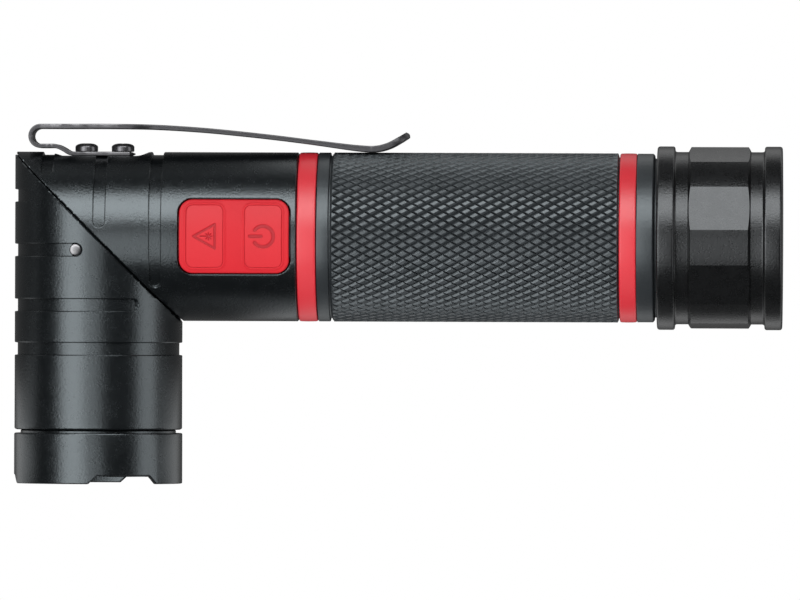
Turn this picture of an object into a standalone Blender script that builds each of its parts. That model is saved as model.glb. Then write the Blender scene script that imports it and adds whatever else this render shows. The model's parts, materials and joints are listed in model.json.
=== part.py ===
"""Swivel-head torch: a tube along +X, a head leg along -Y, the clip on +Y and the buttons on +Z.

Every piece is modelled about the point where the tube axis meets the head axis, and one empty
then lifts the whole torch so that its base is at z = 0 and its middle is at the origin.
"""

import math

import bmesh
import bpy
from mathutils import Matrix, Vector

mm = 0.001

# --- Driving dimensions -----------------------------------------------------------------------
ROUND_STEPS = 40          # sides of the large turned pieces
FINE_STEPS = 24           # sides of the inner turned pieces
SMALL_STEPS = 12          # sides of screws, pins and cells

FIT = 0.3 * mm            # gap kept between pieces that touch
SEAM = FIT / 2            # each piece stays this far from a shared seam

GRIP_WALL = 3.35 * mm     # battery tube, from its bore to the outside of the torch
BODY_WALL = 3.8 * mm      # body housing round the switches
NECK_WALL = 1.7 * mm
HEAD_WALL = 2.6 * mm
END_WALL = 3.0 * mm       # thickness of both 45-degree end walls
EDGE = 0.4 * mm           # small turned chamfer

HEAD_LENGTH = 44.5 * mm   # from the crossing of the axes to the bezel rim
BEZEL_LENGTH = 9.4 * mm
HEAD_NECK_STEP = 1.3 * mm # the bezel's neck is this much below the head's surface
HEAD_NECK_LENGTH = 4.2 * mm

FRONT_RING_X = 36.2 * mm  # front face of the front accent ring
RING_WIDTH = 3.4 * mm
REAR_RING_WIDTH = 3.1 * mm
COLLAR_WIDTH = 2.25 * mm
REAR_COLLAR_WIDTH = 3.2 * mm
GROOVE_WIDTH = 0.75 * mm
REAR_GROOVE_WIDTH = 0.5 * mm
GROOVE_DEPTH = 0.6 * mm
GRIP_LENGTH = 50.8 * mm
RING_THICK = 1.6 * mm
BODY_NECK_LENGTH = 9.8 * mm
TUBE_NECK_WALL = 2.45 * mm
TUBE_NECK_LENGTH = 7.0 * mm

CAP_STEP = 1.3 * mm       # the cap stands this far out past the tube
CAP_GROOVE_DEPTH = 1.0 * mm
CAP_FACET_STEP = 0.1 * mm # the facets are this much below the cap's collars
CAP_LENGTH = 22.5 * mm
CAP_COLLAR = 3.2 * mm
CAP_GROOVE = 2.4 * mm
CAP_THREAD_DEPTH = 8.7 * mm
CAP_ROUND = 0.5 * mm      # rounded edges of the cap's collars
CAP_GAP = 0.4 * mm        # open seam between the tube and the cap
FLAT_COUNT = 7
FLAT_WIDE = math.radians(29)
FLAT_START = math.radians(19.5)
MAGNET_R = 10.0 * mm
MAGNET_THICK = 4.0 * mm

MAGNET_BELOW = 0.1 * mm   # the magnet's face lies this far inside the cap's end
TAIL_SEAL_AT = 1.6 * mm   # from the tube's shoulder to its seal groove
TAIL_SEAL_WIDE = 1.5 * mm
TAIL_SEAL_DEEP = 1.0 * mm
TAIL_SEAL_GAP = 0.15 * mm

SLOT_WIDTH = 2.15 * mm
SLOT_DEPTH = 0.54 * mm
BODY_SLOTS = ((-8.9 * mm, 47), (0.75 * mm, 5.7), (10.75 * mm, -37.6))  # x, front end in degrees
HEAD_SLOTS = ((-7.3 * mm, 53), (2.5 * mm, 8.3), (12.4 * mm, -31.3))    # distance down the leg
HEAD_RING_GROOVE = 20.25 * mm
NOTCH_COUNT = 3
NOTCH_START = math.radians(20.3)
NOTCH_RIM_WIDE = math.radians(51.6)
NOTCH_TOP_WIDE = math.radians(37.8)
NOTCH_DEPTH = 1.4 * mm

BOOT_X = 25.0 * mm        # middle of the boot along the tube
BOOT_LENGTH = 19.8 * mm
BOOT_WIDTH = 13.2 * mm
BOOT_CORNER = 2.45 * mm
BOOT_RISE = 0.25 * mm     # the boot stands this far out of the body
BOOT_THICK = 3.4 * mm
BOOT_LIP = 0.9 * mm       # how far the flange inside the housing reaches past the boot
PAD_RIM = 1.35 * mm        # red left beyond each pad, along the boot
PAD_SIDE = 1.05 * mm       # and beside each pad
PAD_STRIP = 3.9 * mm       # and between the two pads
PAD_LENGTH = (BOOT_LENGTH - PAD_STRIP) / 2 - PAD_RIM
PAD_WIDTH = BOOT_WIDTH - 2 * PAD_SIDE
PAD_CORNER = 1.2 * mm
PAD_SPACING = PAD_LENGTH + PAD_STRIP
PAD_THICK = 2.2 * mm
PAD_RISE = 0.35 * mm
PRESS = 0.6 * mm          # travel of each button
PLUNGER_R = 1.6 * mm
SWITCH_SIDE = 6.0 * mm
SWITCH_BODY = 3.2 * mm
SWITCH_NUB_R = 1.75 * mm
SWITCH_NUB = 0.8 * mm
SWITCH_BELOW = 3.9 * mm   # from the underside of a pad to the top of its switch
BOARD_THICK = 1.0 * mm
BOARD_EDGE = 1.5 * mm     # the switch board reaches this far past the pads on each side
DRIVER_FROM_END = 3.6 * mm

SPINDLE_R = 6.0 * mm
SPINDLE_BORE_R = 3.4 * mm
FLANGE_R = 9.0 * mm
FLANGE_THICK = 1.5 * mm
WASHER_THICK = 0.9 * mm
NUT_THICK = 3.0 * mm
NUT_R = 8.5 * mm
SEAL_R = 8.5 * mm         # middle of the face seal
SEAL_SECTION = 0.65 * mm
THREAD_SHOWN = 0.5 * mm   # spindle thread past the nut
KEY_WIDTH = 1.6 * mm      # slot across the nut for a pin spanner
KEY_DEPTH = 1.0 * mm

CELL_R = 5.1 * mm
CELL_LENGTH = 43.6 * mm
CELL_NUB_R = 1.9 * mm
CELL_NUB = 0.9 * mm
CELL_APART = 0.7 * mm
CELL_CLEAR = 0.45 * mm    # from the cells to the bore of the tube
CELL_COUNT = 3
CARRIER_END = 1.8 * mm
CARRIER_ROD_R = 1.5 * mm
CARRIER_GAP = 1.6 * mm    # from the body's neck to the battery carrier
CONTACT_THICK = 1.2 * mm
SPRING_WIRE_R = 0.45 * mm
FRONT_SPRING_R = (4 * mm, 2 * mm)      # at its wide and its narrow end
TAIL_SPRING_R = (3 * mm, 7 * mm)

CLIP_WIDTH = 8.0 * mm
CLIP_WIDE = 9.6 * mm      # width around the screw access holes
CLIP_ARM_THICK = 0.9 * mm
CLIP_FOOT_THICK = 0.75 * mm
CLIP_LOOP_X = -10.4 * mm
CLIP_LOOP_R = 1.75 * mm
CLIP_LOOP_CUT = 12        # degrees of the loop left open between foot and arm
CLIP_THROAT = 4.1 * mm    # foot top to the underside of the level arm
CLIP_FLAT_BELOW_R = 0.75 * mm
CLIP_FLAT_FROM_X = -6.6 * mm
CLIP_FLAT_TO_X = 6.75 * mm
CLIP_FOOT_END_X = 6.4 * mm
CLIP_RUNOUT = 2.4 * mm    # slope at each end of the flat under the foot
CLIP_BEND = (2.6 * mm, 1.4 * mm, 1.6 * mm)  # runs of the lower leg, of its slope and of the foot's start
CLIP_WIDE_FROM_X = -5.5 * mm
CLIP_WIDE_TO_X = 6.45 * mm
CLIP_RAMP = 2.3 * mm
CLIP_LEVEL_END_X = 11.0 * mm
CLIP_LOW_POINT = 7.2 * mm # how far along the grip the arm comes lowest
CLIP_TIP_RUN = 6.0 * mm
CLIP_TIP_RISE = 2.7 * mm
SCREW_XS = (-2.25 * mm, 4.3 * mm)
SCREW_HEAD_R = 2.0 * mm
SCREW_HEAD = 1.45 * mm
SCREW_SHANK_R = 0.95 * mm
SCREW_REACH = 3.6 * mm

PIN_X = -3.43 * mm
PIN_DOWN = 2.5 * mm
PIN_R = 1.05 * mm
PIN_REACH = 1.8 * mm
PIN_GAP = 0.2 * mm
PIN_DOME = 0.3 * mm

BEZEL_WALL = 2.0 * mm     # round the lens
LENS_THICK = 1.8 * mm
LENS_EDGE = 0.2 * mm
LENS_COVER = 1.2 * mm     # how far the bezel's lip laps over the lens
LIP_THICK = 1.5 * mm
GASKET_THICK = 0.4 * mm
REFLECTOR_STEP = 1.0 * mm # from the lens radius down to the reflector's body
BOWL_R = 9.3 * mm
BOWL_OFFSET = 2.5 * mm
LASER_R = 1.95 * mm
LASER_OFFSET = 9.45 * mm
LASER_LENGTH = 11.6 * mm
LED_BOARD_GAP = 1.0 * mm
LED_BOARD_THICK = 1.2 * mm
LED_SIDE = 2.95 * mm
LED_BASE = 0.6 * mm
LED_DOME_R = 1.4 * mm
REFLECTOR_LENGTH = 11.6 * mm
SINK_FIN = 2.0 * mm       # depth of the grooves between the heat sink's fins
SINK_LENGTH = 8.5 * mm
WIRE_R = 0.6 * mm
WIRE_HOLE_R = 2.5 * mm
WIRE_HOLE_OFFSET = 8.6 * mm
WIRE_APART = 1.3 * mm

# --- Places worked out from the dimensions ------------------------------------------------------
SQUARE = math.sqrt(0.5)
CELL_SPACING_R = (CELL_R + CELL_APART / 2) / math.sin(math.pi / CELL_COUNT)
CARRIER_R = CELL_SPACING_R + CELL_R - FIT / 3
CARRIER_ROD_AT = CARRIER_R - CARRIER_ROD_R - FIT
BATTERY_BORE_R = CELL_SPACING_R + CELL_R + CELL_CLEAR
TUBE_NECK_R = BATTERY_BORE_R + TUBE_NECK_WALL
BODY_R = BATTERY_BORE_R + GRIP_WALL       # body housing, rings and grip
BODY_BORE_R = BODY_R - BODY_WALL
BODY_NECK_R = BODY_BORE_R + NECK_WALL
RING_SEAT_R = BODY_R - RING_THICK
HEAD_R = BODY_R                           # the two halves meet in one 45-degree ellipse
HEAD_BORE_R = HEAD_R - HEAD_WALL
HEAD_NECK_R = HEAD_R - HEAD_NECK_STEP
LENS_R = HEAD_R - BEZEL_WALL
LIP_R = LENS_R - LENS_COVER
REFLECTOR_R = LENS_R - REFLECTOR_STEP
BOWL_FOOT_R = (LED_SIDE / 2 + SEAM) / SQUARE
LED_BOARD_R = HEAD_BORE_R - LED_BOARD_GAP
SINK_R = HEAD_BORE_R - FIT
CAP_R = BODY_R + CAP_STEP
CAP_GROOVE_R = CAP_R - CAP_GROOVE_DEPTH
CAP_FACET_R = CAP_R - CAP_FACET_STEP
BOOT_TOP_R = BODY_R + BOOT_RISE
PAD_TOP_R = BODY_R + PAD_RISE
RING_END_X = FRONT_RING_X + RING_WIDTH
COLLAR_END_X = RING_END_X + COLLAR_WIDTH
GRIP_X = COLLAR_END_X + GROOVE_WIDTH
GRIP_END_X = GRIP_X + GRIP_LENGTH
REAR_RING_X = GRIP_END_X + REAR_GROOVE_WIDTH
REAR_RING_END_X = REAR_RING_X + REAR_RING_WIDTH
TUBE_END_X = REAR_RING_END_X + REAR_COLLAR_WIDTH
CAP_X = TUBE_END_X + CAP_GAP
CAP_END_X = CAP_X + CAP_LENGTH
BEZEL_DOWN = HEAD_LENGTH - BEZEL_LENGTH + SEAM
HEAD_BARREL_END = HEAD_LENGTH - BEZEL_LENGTH - SEAM
NECK_END = HEAD_BARREL_END + HEAD_NECK_LENGTH
LIP_DOWN = HEAD_LENGTH - LIP_THICK
GASKET_DOWN = LIP_DOWN - FIT - GASKET_THICK
LENS_DOWN = GASKET_DOWN - FIT - LENS_THICK
REFLECTOR_DOWN = LENS_DOWN - FIT - REFLECTOR_LENGTH
LED_BOARD_DOWN = REFLECTOR_DOWN - FIT - LED_BOARD_THICK
SINK_DOWN = LED_BOARD_DOWN - FIT - SINK_LENGTH
BODY_NECK_END_X = FRONT_RING_X + BODY_NECK_LENGTH
DRIVER_X = BODY_NECK_END_X - DRIVER_FROM_END
CARRIER_X = BODY_NECK_END_X + CARRIER_GAP
CARRIER_LENGTH = CELL_LENGTH + CELL_NUB + 2 * (CARRIER_END + FIT)
CARRIER_END_X = CARRIER_X + CARRIER_LENGTH
SPRING_X = CARRIER_END_X + FIT
CONTACT_X = CAP_X + CAP_THREAD_DEPTH - FIT - CONTACT_THICK
SPRING_END_X = CONTACT_X - FIT
TUBE_NECK_END_X = TUBE_END_X + TUBE_NECK_LENGTH
FOOT_FLAT_Y = BODY_R - CLIP_FLAT_BELOW_R - FIT
FOOT_Y = FOOT_FLAT_Y + FIT + CLIP_FOOT_THICK / 2
FOOT_TOP_Y = FOOT_Y + CLIP_FOOT_THICK / 2
ARM_Y = FOOT_TOP_Y + CLIP_THROAT + CLIP_ARM_THICK / 2
CLIP_TOP_Y = ARM_Y + CLIP_ARM_THICK / 2
LOOP_Y = ARM_Y - CLIP_LOOP_R
BOARD_TOP_Z = PAD_TOP_R - PAD_THICK - SWITCH_BELOW - SWITCH_BODY
BARREL_START = -HEAD_R - 2 * END_WALL     # both barrels start past the split that trims them
SPLIT = Vector((SQUARE, SQUARE, 0))       # from the head to the body, square to the split
DOWN_TURN = (0, 0, -math.pi / 2)          # turns a piece made along +X to run down the leg
MIDDLE = Vector(((CAP_END_X - HEAD_R) / 2, (CLIP_TOP_Y - HEAD_LENGTH) / 2, -CAP_R))

# --- Materials ----------------------------------------------------------------------------------
FINISHES = {
    "black_anodised": ((0.030, 0.033, 0.036), 0.38, 0.6),
    "red_silicone": ((0.70, 0.035, 0.045), 0.5, 0.0),
    "clip_steel": ((0.07, 0.07, 0.075), 0.35, 0.9),
    "plain_steel": ((0.6, 0.6, 0.6), 0.25, 1.0),
    "seal_rubber": ((0.02, 0.02, 0.02), 0.7, 0.0),
    "brass": ((0.75, 0.6, 0.3), 0.3, 1.0),
    "board_green": ((0.02, 0.12, 0.05), 0.5, 0.0),
    "black_plastic": ((0.03, 0.03, 0.03), 0.55, 0.0),
    "white_plastic": ((0.75, 0.75, 0.7), 0.5, 0.0),
    "red_plastic": ((0.5, 0.02, 0.02), 0.5, 0.0),
    "cell_wrap": ((0.25, 0.27, 0.3), 0.35, 0.0),
    "mirror_coat": ((0.9, 0.9, 0.9), 0.08, 1.0),
    "clear_glass": ((0.9, 0.95, 0.95), 0.05, 0.0),
    "phosphor": ((0.9, 0.8, 0.25), 0.4, 0.0),
    "bare_aluminium": ((0.75, 0.75, 0.77), 0.35, 1.0),
}


def make_finish(name):
    colour, roughness, metallic = FINISHES[name]
    finish = bpy.data.materials.new(name)
    finish.use_nodes = True
    shader = finish.node_tree.nodes["Principled BSDF"]
    shader.inputs["Base Color"].default_value = (*colour, 1)
    shader.inputs["Roughness"].default_value = roughness
    shader.inputs["Metallic"].default_value = metallic
    if name == "clear_glass":
        shader.inputs["Transmission Weight"].default_value = 1
    return finish


# --- Modelling helpers --------------------------------------------------------------------------
def add_object(name, bm, finish=None, parent=None, place=(0, 0, 0), turn=(0, 0, 0)):
    """Turns a bmesh into an object; with no finish it is a hidden cutter or filler."""
    bmesh.ops.recalc_face_normals(bm, faces=bm.faces)
    mesh = bpy.data.meshes.new(name)
    bm.to_mesh(mesh)
    bm.free()
    mesh.shade_smooth()
    mesh.set_sharp_from_angle(angle=math.radians(32))
    piece = bpy.data.objects.new(name, mesh)
    bpy.context.collection.objects.link(piece)
    piece.location = place
    piece.rotation_euler = turn
    piece.parent = parent
    if finish:
        mesh.materials.append(finish)
    else:
        piece.hide_render = True
        piece.display_type = "WIRE"
    return piece


def turned_mesh(profile, steps=ROUND_STEPS, span=2 * math.pi, start=0.0):
    """Spins (x, radius) points about the X axis; a profile off the axis is closed into a ring."""
    bm = bmesh.new()
    points = [bm.verts.new((x, 0, r)) for x, r in profile]
    edges = [bm.edges.new(pair) for pair in zip(points, points[1:])]
    full_turn = span >= 2 * math.pi - 1e-6
    if profile[0][1] > 0:
        edges.append(bm.edges.new((points[-1], points[0])))
        if not full_turn:
            bm.faces.new(points)
    if start:
        bmesh.ops.rotate(bm, verts=bm.verts, cent=(0, 0, 0), matrix=Matrix.Rotation(start, 3, "X"))
    bmesh.ops.spin(bm, geom=bm.verts[:] + bm.edges[:] + bm.faces[:], cent=(0, 0, 0),
                   axis=(1, 0, 0), angle=span, steps=steps, use_merge=full_turn)
    bmesh.ops.remove_doubles(bm, verts=bm.verts, dist=1e-7)
    return bm


def rod_mesh(x0, x1, radius, steps=SMALL_STEPS, chamfer=0.0):
    profile = [(x0, 0), (x0, radius), (x1, radius), (x1, 0)]
    if chamfer:
        profile[1:3] = [(x0, radius - chamfer), (x0 + chamfer, radius),
                        (x1 - chamfer, radius), (x1, radius - chamfer)]
    return turned_mesh(profile, steps)


def ring_mesh(x0, x1, inner, outer, steps=FINE_STEPS, chamfer=0.0):
    profile = [(x0, inner), (x0, outer), (x1, outer), (x1, inner)]
    if chamfer:
        profile[1:3] = [(x0, outer - chamfer), (x0 + chamfer, outer),
                        (x1 - chamfer, outer), (x1, outer - chamfer)]
    return turned_mesh(profile, steps)


def box_mesh(low, high):
    bm = bmesh.new()
    bmesh.ops.create_cube(bm, size=1)
    low, high = Vector(low), Vector(high)
    bmesh.ops.scale(bm, vec=high - low, verts=bm.verts)
    bmesh.ops.translate(bm, vec=(low + high) / 2, verts=bm.verts)
    return bm


def prism_mesh(outline, z0, z1):
    """Raises a flat (x, y) outline from z0 to z1."""
    bm = bmesh.new()
    floor = bm.faces.new([bm.verts.new((x, y, z0)) for x, y in outline])
    top = bmesh.ops.extrude_face_region(bm, geom=[floor])
    raised = [item for item in top["geom"] if isinstance(item, bmesh.types.BMVert)]
    bmesh.ops.translate(bm, vec=(0, 0, z1 - z0), verts=raised)
    return bm


def rounded_outline(middle_x, length, width, corner, corner_steps=4):
    """An outline of a rectangle with round corners, centred on the tube's middle plane."""
    points = []
    for corner_index, (side_x, side_y) in enumerate(((1, 1), (-1, 1), (-1, -1), (1, -1))):
        centre_x = middle_x + side_x * (length / 2 - corner)
        centre_y = side_y * (width / 2 - corner)
        for step in range(corner_steps + 1):
            angle = (corner_index + step / corner_steps) * math.pi / 2
            points.append((centre_x + corner * math.cos(angle), centre_y + corner * math.sin(angle)))
    return points


def cut_by_plane(bm, point, outward):
    """Cuts away what lies beyond the plane and closes the cut."""
    cut = bmesh.ops.bisect_plane(bm, geom=bm.verts[:] + bm.edges[:] + bm.faces[:], dist=1e-7,
                                 plane_co=point, plane_no=outward, clear_outer=True)
    edges = [item for item in cut["geom_cut"] if isinstance(item, bmesh.types.BMEdge)]
    bmesh.ops.contextual_create(bm, geom=edges)
    return bm


def combine(piece, other, operation="DIFFERENCE"):
    change = piece.modifiers.new(f"{operation.lower()}_{other.name}", "BOOLEAN")
    change.operation = operation
    change.solver = "EXACT"
    change.object = other


def shell_prism(name, outline, inner_r, outer_r, parent, finish=None):
    """A prism whose top and bottom follow the round of the tube."""
    middle_x = sum(x for x, _ in outline) / len(outline)
    reach = max(abs(x - middle_x) for x, _ in outline) + FIT
    piece = add_object(name, prism_mesh(outline, inner_r * 0.5, outer_r * 1.2), finish, parent)
    band = add_object(f"{name}_band", ring_mesh(middle_x - reach, middle_x + reach, inner_r, outer_r,
                                                2 * ROUND_STEPS), parent=parent)
    combine(piece, band, "INTERSECT")
    return piece


def add_tube(name, points, radius, finish, parent):
    """A lead: a smooth curve through the points, with a round section and closed ends."""
    path = bpy.data.curves.new(name, "CURVE")
    path.dimensions = "3D"
    path.bevel_depth = radius
    path.bevel_resolution = 2
    path.use_fill_caps = True
    path.resolution_u = 5
    line = path.splines.new("BEZIER")
    line.bezier_points.add(len(points) - 1)
    for knot, point in zip(line.bezier_points, points):
        knot.co = point
        knot.handle_left_type = knot.handle_right_type = "AUTO"
    path.materials.append(finish)
    piece = bpy.data.objects.new(name, path)
    bpy.context.collection.objects.link(piece)
    piece.parent = parent
    return piece


def add_spring(name, x0, x1, r0, r1, turns, finish, parent, steps=10):
    """A wire spring along X, from radius r0 to r1, with a closed end turn at each side."""
    path = bpy.data.curves.new(name, "CURVE")
    path.dimensions = "3D"
    path.bevel_depth = SPRING_WIRE_R
    path.bevel_resolution = 1
    path.use_fill_caps = True
    line = path.splines.new("POLY")
    count = int(turns * steps)
    line.points.add(count)
    for index, knot in enumerate(line.points):
        share = index / count
        angle = 2 * math.pi * turns * share
        radius = r0 + (r1 - r0) * share
        x = x0 + SPRING_WIRE_R + (x1 - x0 - 2 * SPRING_WIRE_R) * share
        knot.co = (x, radius * math.cos(angle), radius * math.sin(angle), 1)
    path.materials.append(finish)
    piece = bpy.data.objects.new(name, path)
    bpy.context.collection.objects.link(piece)
    piece.parent = parent
    return piece


def add_empty(name, parent=None, place=(0, 0, 0), turn=(0, 0, 0)):
    empty = bpy.data.objects.new(name, None)
    bpy.context.collection.objects.link(empty)
    empty.location = place
    empty.rotation_euler = turn
    empty.parent = parent
    return empty


def slot_cutter(name, middle, front_degrees, outer_r, parent, turn=(0, 0, 0)):
    """A shallow band over the far side of a barrel, from front_degrees above the front to its mirror."""
    front = math.radians(front_degrees)
    profile = [(middle - SLOT_WIDTH / 2, outer_r - SLOT_DEPTH), (middle - SLOT_WIDTH / 2, outer_r * 1.1),
               (middle + SLOT_WIDTH / 2, outer_r * 1.1), (middle + SLOT_WIDTH / 2, outer_r - SLOT_DEPTH)]
    band = turned_mesh(profile, FINE_STEPS, math.pi - 2 * front, start=-math.pi + front)
    return add_object(name, band, parent=parent, turn=turn)


# --- Body half ------------------------------------------------------------------------------------
def build_body_housing(frame, finish):
    barrel = turned_mesh([(BARREL_START, 0), (BARREL_START, BODY_R), (FRONT_RING_X - SEAM - EDGE, BODY_R),
                          (FRONT_RING_X - SEAM, BODY_R - EDGE), (FRONT_RING_X - SEAM, BODY_NECK_R),
                          (BODY_NECK_END_X - EDGE, BODY_NECK_R), (BODY_NECK_END_X, BODY_NECK_R - EDGE),
                          (BODY_NECK_END_X, 0)])
    housing = add_object("body_housing", cut_by_plane(barrel, SPLIT * SEAM, -SPLIT), finish, frame)
    bore = rod_mesh(BARREL_START, BODY_NECK_END_X + END_WALL, BODY_BORE_R, FINE_STEPS)
    cut_by_plane(bore, SPLIT * (SEAM + END_WALL), -SPLIT)
    combine(housing, add_object("body_bore", bore, parent=frame))

    spindle_hole = rod_mesh(-END_WALL, 3 * END_WALL, SPINDLE_R + FIT, FINE_STEPS)
    combine(housing, add_object("body_spindle_hole", spindle_hole, parent=frame,
                                turn=(0, 0, math.pi / 4)))
    seal_reach = SEAL_SECTION + SEAM
    seal_groove = ring_mesh(-END_WALL, SEAM + 2 * SEAL_SECTION, SEAL_R - seal_reach, SEAL_R + seal_reach)
    combine(housing, add_object("seal_groove", seal_groove, parent=frame, turn=(0, 0, math.pi / 4)))

    opening = prism_mesh(rounded_outline(BOOT_X, BOOT_LENGTH + 2 * FIT, BOOT_WIDTH + 2 * FIT,
                                         BOOT_CORNER + FIT), BODY_R * 0.4, BODY_R * 1.2)
    combine(housing, add_object("boot_opening", opening, parent=frame))

    for index, (x, degrees) in enumerate(BODY_SLOTS, 1):
        combine(housing, slot_cutter(f"body_slot_{index}", x, degrees, BODY_R, frame))

    flat = prism_mesh([(CLIP_FLAT_FROM_X - CLIP_RUNOUT, BODY_R * 1.2), (CLIP_FLAT_FROM_X, FOOT_FLAT_Y),
                       (CLIP_FLAT_TO_X, FOOT_FLAT_Y), (CLIP_FLAT_TO_X + CLIP_RUNOUT, BODY_R * 1.01),
                       (CLIP_FLAT_TO_X + CLIP_RUNOUT, BODY_R * 1.2)], -BODY_R, BODY_R)
    combine(housing, add_object("clip_flat", flat, parent=frame))
    for index, x in enumerate(SCREW_XS, 1):
        hole = rod_mesh(0, BODY_R, SCREW_SHANK_R + FIT)
        depth = FOOT_TOP_Y - SCREW_REACH
        combine(housing, add_object(f"clip_screw_hole_{index}", hole, parent=frame,
                                    place=(x, depth, 0), turn=(0, 0, math.pi / 2)))


def build_buttons(frame, finishes):
    red, black = finishes["red_silicone"], finishes["black_plastic"]
    boot_low_r = BOOT_TOP_R - BOOT_THICK
    flange_top_r = BODY_BORE_R - FIT
    flange_low_r = flange_top_r - BOOT_LIP
    boot = shell_prism("switch_boot", rounded_outline(BOOT_X, BOOT_LENGTH, BOOT_WIDTH, BOOT_CORNER),
                       min(boot_low_r, flange_low_r), BOOT_TOP_R, frame, red)
    flange = shell_prism("boot_flange", rounded_outline(BOOT_X, BOOT_LENGTH + 2 * BOOT_LIP,
                                                        BOOT_WIDTH + 2 * BOOT_LIP, BOOT_CORNER),
                         flange_low_r, flange_top_r, frame)
    combine(boot, flange, "UNION")

    pad_low_r = PAD_TOP_R - PAD_THICK
    switch_top = BOARD_TOP_Z + SWITCH_BODY
    nub_top = switch_top + SWITCH_NUB
    for name, side in (("laser", -1), ("power", 1)):
        x = BOOT_X + side * PAD_SPACING / 2
        hole = prism_mesh(rounded_outline(x, PAD_LENGTH + 2 * FIT, PAD_WIDTH + 2 * FIT,
                                          PAD_CORNER + FIT), 0, BODY_R * 1.3)
        combine(boot, add_object(f"{name}_pad_hole", hole, parent=frame))

        button = add_empty(f"{name}_button", frame, place=(x, 0, PAD_TOP_R))
        outline = rounded_outline(0, PAD_LENGTH, PAD_WIDTH, PAD_CORNER)
        pad = add_object(f"{name}_button_pad", prism_mesh(outline, -0.5 * BODY_R, BODY_R * 0.2), red,
                         button)
        band = ring_mesh(-PAD_LENGTH, PAD_LENGTH, pad_low_r, PAD_TOP_R, 2 * ROUND_STEPS)
        combine(pad, add_object(f"{name}_pad_band", band, parent=button, place=(0, 0, -PAD_TOP_R)),
                "INTERSECT")
        plunger_top = -PAD_THICK - FIT
        plunger_low = nub_top + PRESS + FIT / 2 - PAD_TOP_R
        add_object(f"{name}_plunger", rod_mesh(plunger_low, plunger_top, PLUNGER_R), black, button,
                   turn=(0, -math.pi / 2, 0))

        half = SWITCH_SIDE / 2
        switch = add_object(f"{name}_switch", box_mesh((x - half, -half, BOARD_TOP_Z + FIT),
                                                       (x + half, half, switch_top)), black, frame)
        nub = add_object(f"{name}_switch_nub", rod_mesh(-SWITCH_NUB, SWITCH_NUB, SWITCH_NUB_R),
                         parent=frame, place=(x, 0, switch_top), turn=(0, -math.pi / 2, 0))
        combine(switch, nub, "UNION")

    board_half = PAD_WIDTH / 2 + BOARD_EDGE
    add_object("switch_board", box_mesh((BOOT_X - BOOT_LENGTH / 2, -board_half, BOARD_TOP_Z - BOARD_THICK),
                                        (BOOT_X + BOOT_LENGTH / 2, board_half, BOARD_TOP_Z)),
               finishes["board_green"], frame)


def build_swivel(frame, finishes):
    """The spindle, washer and nut that clamp the two end walls, made along the split's normal."""
    turn = (0, 0, math.pi / 4)
    wall_face = SEAM + END_WALL
    flange_x = wall_face + FIT
    washer_x = -(wall_face + FIT + WASHER_THICK)
    nut_x = washer_x - FIT - NUT_THICK
    thread_x = nut_x - THREAD_SHOWN
    spindle = turned_mesh([(thread_x, SPINDLE_BORE_R), (thread_x, SPINDLE_R),
                           (flange_x, SPINDLE_R), (flange_x, FLANGE_R),
                           (flange_x + FLANGE_THICK, FLANGE_R), (flange_x + FLANGE_THICK, SPINDLE_BORE_R)],
                          FINE_STEPS)
    steel = finishes["plain_steel"]
    add_object("swivel_spindle", spindle, steel, frame, turn=turn)
    add_object("swivel_washer", ring_mesh(washer_x, washer_x + WASHER_THICK, SPINDLE_R + FIT, NUT_R),
               steel, frame, turn=turn)
    nut = add_object("swivel_nut", ring_mesh(nut_x, nut_x + NUT_THICK, SPINDLE_R + FIT, NUT_R,
                                             chamfer=EDGE), finishes["brass"], frame, turn=turn)
    keys = box_mesh((nut_x - KEY_DEPTH, -NUT_R - KEY_DEPTH, -KEY_WIDTH / 2),
                    (nut_x + KEY_DEPTH, NUT_R + KEY_DEPTH, KEY_WIDTH / 2))
    combine(nut, add_object("nut_key_slot", keys, parent=frame, turn=turn))
    seal_x = SEAM + SEAL_SECTION
    seal = [(seal_x + SEAL_SECTION * 0.8 * math.cos(angle), SEAL_R + SEAL_SECTION * math.sin(angle))
            for angle in (step * math.pi / 3 for step in range(6))]
    add_object("swivel_seal", turned_mesh(seal, FINE_STEPS), finishes["seal_rubber"], frame, turn=turn)


def build_front_electrics(frame, finishes):
    board_r = BODY_BORE_R - FIT
    add_object("driver_board", rod_mesh(DRIVER_X, DRIVER_X + BOARD_THICK, board_r, FINE_STEPS),
               finishes["board_green"], frame)
    add_spring("front_contact_spring", DRIVER_X + BOARD_THICK + FIT, CARRIER_X - FIT, *FRONT_SPRING_R, 3,
               finishes["brass"], frame)
    spindle_end = SEAM + END_WALL + FIT + FLANGE_THICK
    for name, side in (("red", 1), ("black", -1)):
        z = side * WIRE_APART
        body_route = [(*(SPLIT * SEAM * 2).to_2d(), z), (*(SPLIT * spindle_end).to_2d(), z),
                      (BOOT_X / 2, BODY_BORE_R * 0.4, z), (BOOT_X, BODY_BORE_R * 0.2, z),
                      (DRIVER_X - FIT, BODY_BORE_R * 0.2, z)]
        add_tube(f"lead_{name}_body", body_route, WIRE_R, finishes[f"{name}_plastic"], frame)


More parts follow.
